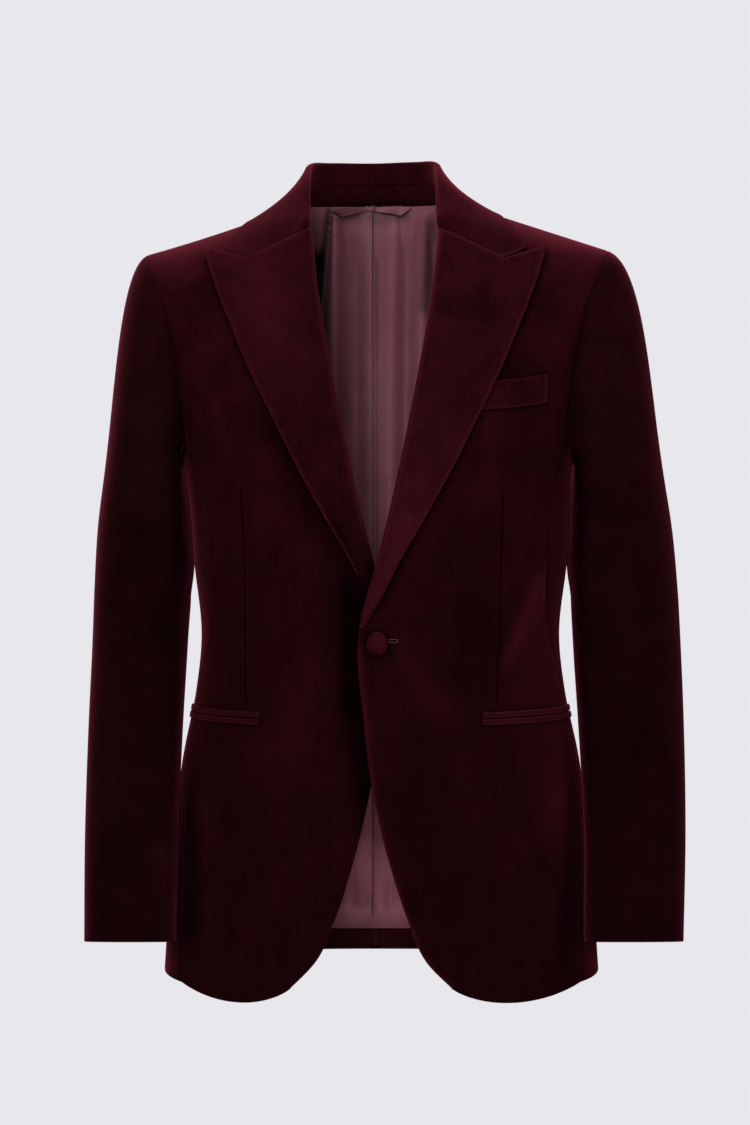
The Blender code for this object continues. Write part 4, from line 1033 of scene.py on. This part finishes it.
def collar_grid(tree, count):
    """Outside of the collar: leaf, fold and the leg inside the neck."""
    fold, edge, share = collar_stations(count)
    out = unit((edge - fold) * np.array([1, 1, 0]))
    deep = unit(np.cross(np.gradient(fold, axis=0), out))
    deep = deep * -np.sign(deep[:, 2:])
    middle = fold + (out + deep) * COLLAR_RADIUS
    lean = np.arctan2(((edge - middle) * deep).sum(-1), ((edge - middle) * out).sum(-1))[:, None]
    first = math.pi / 2 - np.clip(lean, 0, math.pi / 2)
    fold_over = []
    for share_of_turn in np.linspace(0, 1, FOLD_STEPS + 1):
        turn = first + (math.pi - first) * share_of_turn
        fold_over.append(middle + (out * np.cos(turn) - deep * np.sin(turn)) * COLLAR_RADIUS)
    across = np.linspace(1, 0, LEAF_STEPS + 1)
    across[np.argmin(np.abs(across - COLLAR_NOTCH_AT))] = COLLAR_NOTCH_AT
    found = [tree.find_nearest(Vector(point)) for point in edge]
    edge = np.array([np.array(near + normal * COLLAR_EDGE_LIFT) for near, normal, _, _ in found])
    leaf = np.stack([fold_over[0] + (edge - fold_over[0]) * t for t in across], 1)
    hat = np.interp(across, [0, COLLAR_NOTCH_AT, 1], [0, 1, 0])
    end = ramp(share, COLLAR_NOTCH_FADE, 0)[:, None]**2
    tuck = COLLAR_TUCK + COLLAR_DEEP_TUCK * ramp(across, TUCK_OUT, TUCK_IN)
    leaf[..., 2] -= end * (COLLAR_NOTCH_DEPTH * hat + tuck * ramp(across, 0, TUCK_IN))
    flat = np.maximum(ramp(across, *LEAF_FLAT), ramp(share, *END_FLAT)[:, None])
    lift = COLLAR_LIFT + (COLLAR_EDGE_LIFT - COLLAR_LIFT) * flat
    for _ in range(CLEAR_PASSES):
        leaf[:, :-1] = clear_of(tree, leaf[:, :-1], lift[:, :-1])
        for _ in range(LEAF_PASSES):
            even_out(leaf[:, :-1], 1)
            even_out(np.swapaxes(leaf, 0, 1), 1, LEAF_STIFFNESS)
    length = COLLAR_LEG[0] + (COLLAR_LEG[1] - COLLAR_LEG[0]) * ramp(share, *LEG_GROWS)
    run = (length - COLLAR_RADIUS)[:, None]
    slant = LEG_SLANT * ramp(share, *LEG_LEANS)[:, None]
    leg_way = unit(deep * (1 - slant) + unit(neck_round(count) - fold_over[-1]) * slant)
    leg = [fold_over[-1] + leg_way * run * k for k in np.linspace(0, 1, LEG_STEPS + 1)[1:]]
    whole = np.concatenate([leaf, np.stack(fold_over[1:] + leg, 1)], 1)
    inner = np.concatenate([ramp(across, TUCK_IN, 0), np.ones(FOLD_STEPS + LEG_STEPS)])
    under = ramp(share, *END_UNDER)[:, None] * inner
    whole[..., 2] -= (COLLAR_TUCK + COLLAR_DEEP_TUCK) * under
    whole[..., 0] += COLLAR_SPREAD * np.sign(whole[..., 0]) * under
    return whole


def edged(grid, borders):
    """The grid with these borders turned in: each with its axis, whether it is the last, and its radius."""
    normals = grid_normals(grid)
    for axis, last, radius in borders:
        grid, normals = turned(grid, normals, axis, last, radius, EDGE_TURNING)
    return grid


def band_grid(leg_end):
    """Inside of the collar band, from the back neck seam up to the collar's leg, shoulder to shoulder."""
    kept = slice(BAND_SKIP, len(leg_end) - BAND_SKIP)
    seam, top = neck_round(len(leg_end) - 1)[kept], leg_end[kept]
    way = unit(top - seam)
    seam = seam - way * (BAND_TURNING + BAND_DROP * ramp(seam[:, :1], -0.010, -0.055))
    top = top - way * BAND_GAP
    return seam + (top - seam) * np.linspace(0, 1, BAND_STEPS + 1)[:, None, None]


plain_fronts, plain_backs = {}, {}
for side in SIDE_NAMES:
    plain_fronts[side], _ = front_grid(side, PLAIN_FRONT_ROWS, FRONT_SPARE, PLAIN_FRONT_COLUMNS)
    plain_backs[side] = back_grid(side, np.linspace(0, 1, PLAIN_BACK_COLUMNS), PLAIN_BACK_ROWS)
shoulders = tree_of([outward(plain_fronts[side], side) for side in SIDE_NAMES]
                    + [outward(plain_backs[side], -side) for side in SIDE_NAMES])
collar = collar_grid(shoulders, COLLAR_STATIONS)
folded = edged(collar, ((1, False, EDGE_ROUND), (1, True, EDGE_ROUND)))
piece = cloth_piece("velvet_collar", folded, COLLAR_WALL, [velvet, velvet])
dressed(piece, "collar", "velvet", (0.453, 0.100), 0.0361, "folded", ["back_left", "back_right"])
band = band_grid(collar[:, -1])
piece = cloth_piece("velvet_collar_band", edged(band, ((0, True, EDGE_ROUND),)), BAND_WALL, [velvet, velvet])
dressed(piece, "collar_band", "velvet", (0.267, 0.032), 0.0062, "stretched", ["collar"])


# Lapels: each front's top folded back on itself along the roll line, with a peaked corner above the notch.
LAPEL_FOOT_Z, LAPEL_HEAD_Z, LAPEL_TIP_Z = -0.4030, -0.0262, -0.0412
LAPEL_GAP, LAPEL_EDGE_GAP, LAPEL_ROLL = 0.0032, 0.0022, 0.0016
ROLL_BACK, ROLL_FRONT = 0.36, 0.64
LAPEL_GROWS, LAPEL_LEAST, FOOT_WALL, FACING_LEAST = (-0.4070, -0.372), 0.001, 0.3, 0.35
BELLY_FADE, EDGE_DOWN, HEAD_UP = (1, 0.8), (0.5, 1), (0.95, 0.8)
LAPEL_EDGE = np.array([
    # z, from_centre
    (-0.4040, -0.0110),
    (-0.3860, 0.0005),
    (-0.3410, 0.0235),
    (-0.3040, 0.0452),
    (-0.2570, 0.0714),
    (-0.2105, 0.0947),
    (-0.1670, 0.1160),
    (-0.1190, 0.1363),
    (-0.0755, 0.1530),
    (-0.0412, 0.1635),
])
LAPEL_PAINTED_LIGHT = {
    # start x and z, end x and z, width, how much painted light, negative for painted shade
    LEFT: [(0.040, -0.300, -0.004, -0.398, 0.014, 0.45), (0.085, -0.110, 0.080, -0.210, 0.026, -0.18)],
    RIGHT: [(-0.040, -0.310, -0.006, -0.400, 0.015, -0.55), (-0.110, -0.070, -0.095, -0.150, 0.024, 0.50)],
}
NOTCH_AT, NOTCH_DEPTH, NOTCH_FADE = 0.59, 0.0197, 0.80
LAPEL_ROWS, LAPEL_COLUMNS, ROLL_STEPS = 150, 44, 12
# Painted highlights along each lapel's outer edge, peak and roll, from the foot row on.
LAPEL_RIM_FOOT, LAPEL_RIM_LIGHT, PEAK_RIM_LIGHT, ROLL_RIM_LIGHT = 20, 1.6, 1.3, 0.9
lapel_edge = smooth_line(LAPEL_EDGE[:, 0], LAPEL_EDGE[:, 1])


def on_front(tree, x, z):
    """The point of the front that shows at x and z, and its normal towards the viewer."""
    point, normal, _, _ = tree.ray_cast(Vector((x, -1.0, z)), Vector((0, 1, 0)))
    if normal.y > 0:
        normal = -normal
    return np.array(point), np.array(normal)


def on_front_grid(tree, x, z):
    """Points and normals of the front at each pair of x and z."""
    found = [on_front(tree, a, b) for a, b in zip(x.ravel(), z.ravel())]
    shape = x.shape + (3,)
    return np.array([f[0] for f in found]).reshape(shape), np.array([f[1] for f in found]).reshape(shape)


def lapel_grid(side, tree):
    """Outside of a lapel: a roll round the front's edge, then the leaf lying on the front."""
    s = np.linspace(0, 1, LAPEL_ROWS + 1)[:, None]
    roll_z = LAPEL_FOOT_Z + (LAPEL_HEAD_Z - LAPEL_FOOT_Z) * s
    edge_z = LAPEL_FOOT_Z + (LAPEL_TIP_Z - LAPEL_FOOT_Z) * s
    full = ramp(roll_z, *LAPEL_GROWS)
    radius = ROLL_RADIUS * full
    roll_x = opening(side, roll_z) + radius
    edge_x = np.maximum(lapel_edge(edge_z), roll_x + LAPEL_LEAST)
    t = np.linspace(0, 1, LAPEL_COLUMNS + 1)
    t[np.argmin(np.abs(t - NOTCH_AT))] = NOTCH_AT
    hat = np.where(t < NOTCH_AT, t / NOTCH_AT, (1 - t) / (1 - NOTCH_AT))
    x = roll_x + (edge_x - roll_x) * t
    z = roll_z + (edge_z - roll_z) * t - NOTCH_DEPTH * hat * ramp(s, NOTCH_FADE, 1)
    base, normal = on_front_grid(tree, side * x, z)
    forward = np.array([0, -1.0, 0]) / np.maximum(np.abs(normal[..., 1:2]), FACING_LEAST)
    belly = LAPEL_ROLL * np.sin(math.pi * t) * ramp(s, *BELLY_FADE)
    lower = (LAPEL_EDGE_GAP - LAPEL_GAP) * ramp(t, *EDGE_DOWN) * ramp(s, *HEAD_UP)
    top = (LAPEL_GAP + lower + belly) * full + VELVET_WALL * np.maximum(full, FOOT_WALL)
    middle = base[:, :1] + forward[:, :1] * top[:, :1, None] * ROLL_BACK
    inward = unit((base[:, :1] - base[:, 2:3]) * np.array([1, 1, 0]))
    turn = np.linspace(-math.pi / 2, math.pi / 2, ROLL_STEPS + 1)[None, :-1, None]
    roll = middle + inward * np.cos(turn) * radius[..., None]
    roll = roll + forward[:, :1] * np.sin(turn) * top[:, :1, None] * ROLL_FRONT
    return np.concatenate([roll, base + forward * top[..., None]], 1)


for side, word in SIDE_NAMES.items():
    leaf = lapel_grid(side, tree_of([plain_fronts[side]]))
    rims = rim(leaf[LAPEL_RIM_FOOT:, -1], LAPEL_RIM_LIGHT) + rim(leaf[-1, ROLL_STEPS:], PEAK_RIM_LIGHT)
    rims += rim(leaf[LAPEL_RIM_FOOT:, ROLL_STEPS - 3], ROLL_RIM_LIGHT)
    folded = edged(outward(leaf, side), ((1, side == LEFT, EDGE_ROUND), (0, True, EDGE_ROUND)))
    # The left lapel wears the lighter copy of the velvet, painted light.
    face = painted_lit_lapel_velvet if side == LEFT else velvet
    piece = cloth_piece("velvet_lapel_" + word, folded, VELVET_WALL, [face, face], LAPEL_PAINTED_LIGHT[side] + rims)
    dressed(piece, "lapel_" + word, "velvet", (0.129, 0.422), 0.0266, "folded", ["front_" + word])


# Hip pockets: two jets each, narrow rolls of velvet sewn along the two sides of the slit. Breast pocket: one
# welt of velvet, sewn along its foot and both ends and open at its top.
JET_Z, JET_RISE, JET_HEIGHT, JET_SLIT = -0.4875, 0.0030, 0.0058, 0.0008
JET_START_X, JET_TURN = {LEFT: 0.0985, RIGHT: 0.1075}, {LEFT: math.radians(53), RIGHT: math.radians(50)}
JET_WALL, JET_CROWN, JET_ROUND = 0.0010, 0.0007, 0.0005
# Painted highlights along the jets' edges.
JET_LIGHT, JET_RIM_WIDTH, JET_RIM_STEP = {LEFT: 1.3, RIGHT: 0.4}, 0.0011, 0.009
JET_ROWS, JET_COLUMNS, WELT_ROWS, WELT_COLUMNS = 9, 61, 17, 41
WELT_X, WELT_Z = (0.090, 0.161), (-0.2018, -0.1932)
WELT_HEIGHT, WELT_BOW, WELT_WALL = 0.0270, 0.0015, 0.0016
# Painted highlights along the welt's end, top and foot.
WELT_END_LIGHT, WELT_LIGHT, WELT_RIM_WIDTH = 2.0, 0.8, 0.0018
ON_PANEL = 0.0003
JET_BORDERS = [(axis, last, JET_ROUND) for axis in (0, 1) for last in (False, True)]
WELT_BORDERS = [JET_BORDERS[0], (0, True, SEAM_ROUND), *JET_BORDERS[2:]]


def laid_on(tree, points, lift):
    """Outside of a strip laid on the cloth in tree at these points, lifted by so much."""
    found = [tree.find_nearest(Vector(point)) for point in points.reshape(-1, 3)]
    base = np.array([np.array(near) for near, _, _, _ in found]).reshape(points.shape)
    return base + grid_normals(base) * lift


def jet_points(side, z_low):
    """Where one jet of a hip pocket lies, round the front and side."""
    t = np.linspace(0, 1, JET_COLUMNS)
    k = np.linspace(0, 1, JET_ROWS)[:, None]
    z = z_low + JET_HEIGHT * k + JET_RISE * t
    start = angle_of(JET_START_X[side] / section(side, z)[0])
    return outward(body_point(side, start + JET_TURN[side] * t, z), side)


def welt_points(tree):
    """Where the breast pocket's welt lies."""
    t = np.linspace(0, 1, WELT_COLUMNS)
    k = np.linspace(0, 1, WELT_ROWS)[:, None]
    x = WELT_X[0] + (WELT_X[1] - WELT_X[0]) * t + np.zeros_like(k)
    z = WELT_Z[0] + (WELT_Z[1] - WELT_Z[0]) * t - WELT_BOW * np.sin(math.pi * t) + WELT_HEIGHT * k
    return on_front_grid(tree, x, z)[0]


panels = {side: tree_of([grids["front_" + word], grids["side_panel_" + word]])
          for side, word in SIDE_NAMES.items()}
for side, word in SIDE_NAMES.items():
    for place, z in (("lower", JET_Z - JET_HEIGHT - JET_SLIT / 2), ("upper", JET_Z + JET_SLIT / 2)):
        crown = JET_CROWN * np.sin(np.linspace(0.12, 0.88, JET_ROWS) * math.pi)[:, None, None]
        jet = laid_on(panels[side], jet_points(side, z), ON_PANEL + JET_WALL + crown)
        rims = [stroke for row in (jet[0], jet[-1])
                for stroke in rim(row, JET_LIGHT[side], JET_RIM_WIDTH, JET_RIM_STEP)]
        node = "pocket_jet_" + place + "_" + word
        folded = edged(jet, JET_BORDERS)
        piece = cloth_piece("velvet_" + node, folded, JET_WALL, [jet_velvet, jet_velvet], rims)
        dressed(piece, node, "velvet", (0.014, 0.100), 0.0013, "folded", ["front_" + word])
welt = laid_on(panels[LEFT], welt_points(panels[LEFT]), ON_PANEL + WELT_WALL)
rims = rim(welt[:, -1], WELT_END_LIGHT, WELT_RIM_WIDTH)
rims += rim(welt[-1], WELT_LIGHT, WELT_RIM_WIDTH) + rim(welt[0], WELT_LIGHT, WELT_RIM_WIDTH)
piece = cloth_piece("velvet_breast_welt", edged(welt, WELT_BORDERS), WELT_WALL, [velvet, velvet], rims)
dressed(piece, "breast_welt", "velvet", (0.080, 0.034), 0.0025, "folded", ["front_left"])


# Button: a domed shell covered in the jacket's velvet, gathered under its rim, sewn to the right front and
# passed through the worked buttonhole of the left.
BUTTON_X, BUTTON_Z, BUTTON_STAND = 0.0022, -0.4175, 0.0008
BUTTON_NARROW, BUTTON_TILT = 0.90, math.radians(-8)
BUTTON_PROFILE = np.array([
    # radius, height
    (0.0088, 0.0000),
    (0.0102, 0.0006),
    (0.0108, 0.0018),
    (0.0107, 0.0030),
    (0.0098, 0.0043),
    (0.0080, 0.0053),
    (0.0055, 0.0060),
    (0.0028, 0.0064),
    (0.0002, 0.0065),
])
bpy.ops.object.select_all(action="DESELECT")
bpy.ops.mesh.primitive_circle_add(vertices=64, radius=BUTTON_PROFILE[0, 0], fill_type="NGON")
button = bpy.context.active_object
button.name = button.data.name = "velvet_button"
bpy.ops.object.mode_set(mode="EDIT")
bpy.ops.mesh.select_all(action="SELECT")
for (radius, height), (wider, higher) in zip(BUTTON_PROFILE[:-1], BUTTON_PROFILE[1:]):
    bpy.ops.mesh.extrude_region_move(TRANSFORM_OT_translate={"value": (0, 0, higher - height)})
    bpy.ops.transform.resize(value=(wider / radius, wider / radius, 1))
bpy.ops.object.mode_set(mode="OBJECT")
face_point, _ = on_front(panels[LEFT], BUTTON_X, BUTTON_Z)
button.scale = (BUTTON_NARROW, 1, 1)
button.rotation_euler = (math.radians(90), 0, BUTTON_TILT)
button.location = Vector(face_point) - Vector((0, BUTTON_STAND, 0))
bpy.ops.object.transform_apply(location=True, rotation=True, scale=True)
# Painted sheen: a lighter copy of the jacket's velvet, for the light on the button's dome.
painted_lit_button_velvet = velvet_material("painted_lit_button_velvet", (0.016, 0.0020, 0.0030), (0.060, 0.0072, 0.0122), 0.40)
button.data.materials.append(painted_lit_button_velvet)
bpy.ops.object.shade_smooth_by_angle(angle=SMOOTH_ANGLE)
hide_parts("button")
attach(button, "root")


# Buttonhole: worked in a pale silk thread round its slit, the end of it showing beside the button.
HOLE_X, HOLE_Z, HOLE_LENGTH, HOLE_HALF, THREAD = 0.0166, -0.4150, 0.0058, 0.0013, 0.00036
HOLE_STAND, STITCH_DEPTH, STITCH_PITCH = 0.0002, 0.14, 9000
bpy.ops.object.select_all(action="DESELECT")
bpy.ops.mesh.primitive_torus_add(
    major_radius=HOLE_HALF, minor_radius=THREAD, major_segments=48, minor_segments=10)
hole = bpy.context.active_object
hole.name = hole.data.name = "buttonhole_thread"
points = np.array([vertex.co for vertex in hole.data.vertices])
points[:, 0] += np.sign(points[:, 0]) * HOLE_LENGTH / 2
points[:, 2] *= 1 + STITCH_DEPTH * np.sin(points[:, 0] * STITCH_PITCH)
seat, _ = on_front(panels[LEFT], HOLE_X, HOLE_Z)
points = seat + np.stack([points[:, 0], -HOLE_STAND - points[:, 2], points[:, 1]], -1)
hole.data.vertices.foreach_set("co", points.astype(np.float32).ravel())
hole.data.update()
hole.data.materials.append(satin_material("buttonhole_silk", (0.06, 0.026, 0.029), (0.16, 0.088, 0.092)))
bpy.ops.object.shade_smooth_by_angle(angle=SMOOTH_ANGLE)
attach(hole, "root")


# Back lining: two pieces of mauve satin, seamed down the middle with a small pleat for ease, sewn in at the
# neck and caught down above the velvet turn-up of the hem.
LINING_WALL, LINING_HEM_Z = 0.0008, -0.7100
LINING_SEAT, LINING_CLEAR, LINING_HIGH_CLEAR = 0.0006, 0.0040, 0.0045
LINING_REACH, LINING_COLUMNS, LINING_PASSES = 0.72, 96, 40
LINING_ROWS = (100, 24, 48)
PLEAT_X, PLEAT_LIFT, PLEAT_WIDTH = -0.0030, 0.0020, 0.009
HEM_RIPPLE, RIPPLE_FALLS, LEAST_LIFT = 0.0016, (-0.64, -0.69), 0.0004
HEM_HELD, NECK_HELD, ROOM_RISES = (0, 0.05), (1, 0.74), (-0.45, -0.25)
FOLD_HEM, FOLD_NECK = (0, 0.035), (1, 0.975)
LINING_FOLDS = {
    # start x and z, end x and z, width, height towards the viewer
    LEFT: [
        (0.018, 0.045, 0.014, -0.420, 0.010, 0.0040),
        (0.033, 0.045, 0.028, -0.420, 0.009, -0.0034),
        (0.048, 0.030, 0.044, -0.300, 0.009, 0.0040),
        (0.062, 0.030, 0.056, -0.380, 0.008, -0.0060),
        (0.006, -0.620, 0.040, -0.690, 0.010, 0.0040),
        (0.030, -0.610, 0.012, -0.690, 0.007, -0.0030),
    ],
    RIGHT: [
        (-0.0470, 0.012, -0.0560, -0.150, 0.0050, -0.0110),
        (-0.0400, 0.030, -0.0400, -0.300, 0.0070, 0.0075),
        (-0.022, 0.045, -0.018, -0.420, 0.010, -0.0036),
        (-0.066, 0.010, -0.064, -0.240, 0.008, -0.0060),
        (-0.012, -0.610, -0.030, -0.690, 0.009, 0.0040),
        (-0.026, -0.600, -0.014, -0.690, 0.007, -0.0030),
    ],
}
LINING_PAINTED_LIGHT = {
    # start x and z, end x and z, width, how much painted light, negative for painted shade
    LEFT: [
        (0.055, 0.000, 0.048, -0.100, 0.0070, -0.60),
        (0.0016, 0.000, 0.0016, -0.420, 0.0016, -0.45),
        (-0.005, -0.004, 0.034, -0.001, 0.0060, -0.35),
        (0.010, -0.560, 0.016, -0.690, 0.022, 1.60),
    ],
    RIGHT: [
        (-0.0446, 0.014, -0.0580, -0.090, 0.0034, -0.75),
        (-0.0580, -0.030, -0.0560, -0.160, 0.0075, -0.85),
        (-0.062, 0.004, -0.062, -0.040, 0.0080, -0.45),
        (-0.018, -0.010, -0.017, -0.180, 0.0100, -0.22),
        (-0.042, -0.003, 0.005, -0.001, 0.0060, -0.35),
        (-0.012, -0.560, -0.014, -0.690, 0.020, 1.70),
    ],
}


def lining_grid(side):
    """Inside of one half of the back lining: hung clear of the back, with soft folds and a lapped pleat."""
    u = np.linspace(0, LINING_REACH, LINING_COLUMNS + 1)
    points = back_grid(side, u, LINING_ROWS, LINING_HEM_Z)
    even_out(points, LINING_PASSES)
    away = outward(grid_normals(outward(points, -side)), -side)
    t = np.linspace(0, 1, len(points))[:, None]
    loose = ramp(t, *HEM_HELD) * ramp(t, *NECK_HELD)
    roomy = LINING_CLEAR + LINING_HIGH_CLEAR * ramp(points[..., 2], *ROOM_RISES)
    points = points - away * (VELVET_WALL + LINING_WALL + LINING_SEAT + loose * roomy)[..., None]
    x, z = points[..., 0], points[..., 2]
    lift = HEM_RIPPLE * ramp(z, *RIPPLE_FALLS) * (1 + np.sin(x * 150 + 1.5 * np.sin(x * 60)))
    lift = lift + along_lines(points[..., ::2], LINING_FOLDS[side])
    lift = np.maximum(lift * ramp(t, *FOLD_HEM) * ramp(t, *FOLD_NECK), LEAST_LIFT - loose * roomy)
    points[..., 1] -= lift
    if side == RIGHT:
        points[..., 1] -= PLEAT_LIFT * np.exp(-((x - PLEAT_X) / PLEAT_WIDTH)**2) * ramp(t, *HEM_HELD)
        points[:, 0, 0] = points[:, 1, 0] = points[:, 2, 0] = PLEAT_X
        points[:, 0, 1] += PLEAT_LIFT
        points[:, 1, 1] += 0.0003
        return points
    lap = points[:, :1] * np.array([0, 1, 1])
    return np.concatenate([lap + (2.5 * PLEAT_X, 0.0002, 0), points], 1)


linings = {side: lining_grid(side) for side in SIDE_NAMES}
for side, word in SIDE_NAMES.items():
    lining = outward(linings[side], side)
    piece = cloth_piece("satin_lining_back_" + word, lining, LINING_WALL, [satin, satin], LINING_PAINTED_LIGHT[side])
    dressed(piece, "lining_back_" + word, "satin_lining", (0.21, 0.756), 0.1130, "hung", ["back_" + word])


# Hanger loop: a ribbon of the satin, caught down at both ends and in the middle below the collar band.
LOOP_WALL, LOOP_STAND, LOOP_IN = 0.0010, 0.0026, 0.006
LOOP_ROWS, LOOP_COLUMNS = 11, 81
LOOP = np.array([
    # x, foot_z, top_z, share of the stand at its foot
    (-0.0435, 0.0012, 0.0030, 0.0),
    (-0.0340, -0.0026, 0.0052, 0.9),
    (-0.0200, 0.0015, 0.0078, 1.0),
    (-0.0063, 0.0056, 0.0096, 0.1),
    (0.0080, 0.0032, 0.0112, 0.8),
    (0.0247, -0.0008, 0.0100, 1.0),
    (0.0350, 0.0062, 0.0078, 0.0),
])
# Painted shade on the loop: most on the wearer's right half, a little on the left.
LOOP_PAINTED_LIGHT = [(-0.046, 0.000, -0.008, 0.004, 0.009, -0.55), (0.004, 0.006, 0.034, 0.006, 0.008, -0.12)]
x = np.linspace(LOOP[0, 0], LOOP[-1, 0], LOOP_COLUMNS)
foot_z, top_z, stand = (np.interp(x, LOOP[:, 0], LOOP[:, k]) for k in (1, 2, 3))
up = np.linspace(0, 1, LOOP_ROWS)[:, None]
neck_half, neck_side_y, _ = NECK_POINT[LEFT]
y = BACK_NECK[1] - LOOP_IN - (BACK_NECK[1] - neck_side_y) * (1 - np.sqrt(1 - (x / neck_half)**2))
loop_points = np.stack(np.broadcast_arrays(x, y + 0 * up, foot_z + (top_z - foot_z) * up), -1)
lined = tree_of([outward(linings[side], side) for side in SIDE_NAMES])
loop = laid_on(lined, loop_points, ON_PANEL + LOOP_WALL)
loop[..., 1] -= LOOP_STAND * stand * (1 - up)
piece = cloth_piece("satin_hanger_loop", loop, LOOP_WALL, [satin, satin], LOOP_PAINTED_LIGHT)
dressed(piece, "hanger_loop", "satin_lining", (0.085, 0.012), 0.0006, "folded", ["lining_back_left"])


# Floor: a pale, faintly clouded disc well below the hem, with nothing on it.
bpy.ops.object.select_all(action="DESELECT")
bpy.ops.mesh.primitive_circle_add(vertices=96, radius=1.3, fill_type="NGON", location=(0, 0, -1.30))
floor = bpy.context.active_object
floor.name = "floor"
pale, tree, shader = new_material("pale_floor")
cloud = put(tree, "TexNoise", {"Vector": put(tree, "TexCoord").outputs["Object"], "Scale": 3.0})
tint = put(tree, "ValToRGB", {"Fac": cloud.outputs["Fac"]})
tint.color_ramp.elements[0].color = (0.385, 0.385, 0.405, 1)
tint.color_ramp.elements[1].color = (0.415, 0.415, 0.435, 1)
feed(tree, shader, {"Base Color": tint.outputs["Color"], "Roughness": 0.9})
floor.data.materials.append(pale)


# Light: an even pale studio, soft boxes in front, above, to the left and behind, and a strip at each side.
world = bpy.data.worlds.new("studio")
bpy.context.scene.world = world
world.use_nodes = True
sky = world.node_tree
backdrop = feed(sky, sky.nodes["Background"], {"Color": (0.807, 0.799, 0.839, 1), "Strength": 1.0})
dim = put(sky, "Background", {"Color": (0.95, 0.95, 1.0, 1), "Strength": 0.08})
either = put(sky, "MixShader", {
    "Fac": put(sky, "LightPath").outputs["Is Camera Ray"],
    1: dim.outputs["Background"],
    2: backdrop.outputs["Background"],
})
feed(sky, sky.nodes["World Output"], {"Surface": either.outputs["Shader"]})
for name, place, aim, size, power in (
        ("soft_box", (-0.60, -1.1, 0.80), (0, 0, -0.18), (0.9, 0.6), 11),
        ("front_box", (-0.20, -2.7, 0.0), (0, 0, -0.35), (0.7, 0.7), 30),
        ("top_box", (-0.25, 0.80, 1.10), (0, 0, -0.15), (1.3, 0.5), 46),
        ("side_box", (1.4, -0.9, 0.10), (0.0, 0, -0.38), (0.35, 0.6), 7),
        ("strip_left", (1.7, 0.25, 0.0), (0.15, 0, -0.40), (0.4, 1.6), 1.5),
        ("strip_right", (-1.7, 0.25, 0.0), (-0.15, 0, -0.40), (0.4, 1.6), 2),
        ("back_box", (0.4, 1.9, 1.2), (0, 0.05, -0.35), (1.6, 1.2), 14)):
    lamp = bpy.data.lights.new(name, "AREA")
    lamp.shape = "RECTANGLE"
    lamp.size, lamp.size_y = size
    lamp.energy = power
    holder = bpy.data.objects.new(name, lamp)
    bpy.context.scene.collection.objects.link(holder)
    holder.location = place
    holder.rotation_euler = (Vector(aim) - Vector(place)).to_track_quat("-Z", "Y").to_euler()
bpy.context.scene.view_settings.view_transform = "Standard"


# Camera: level with the middle of the jacket, straight in front of it.
lens = bpy.data.cameras.new("front_view")
lens.sensor_width = 36.0
lens.lens = 93.18
camera = bpy.data.objects.new("front_view", lens)
bpy.context.scene.collection.objects.link(camera)
camera.location = (0, -2.8, -0.343)
camera.rotation_euler = (math.radians(90), 0, 0)
bpy.context.scene.camera = camera
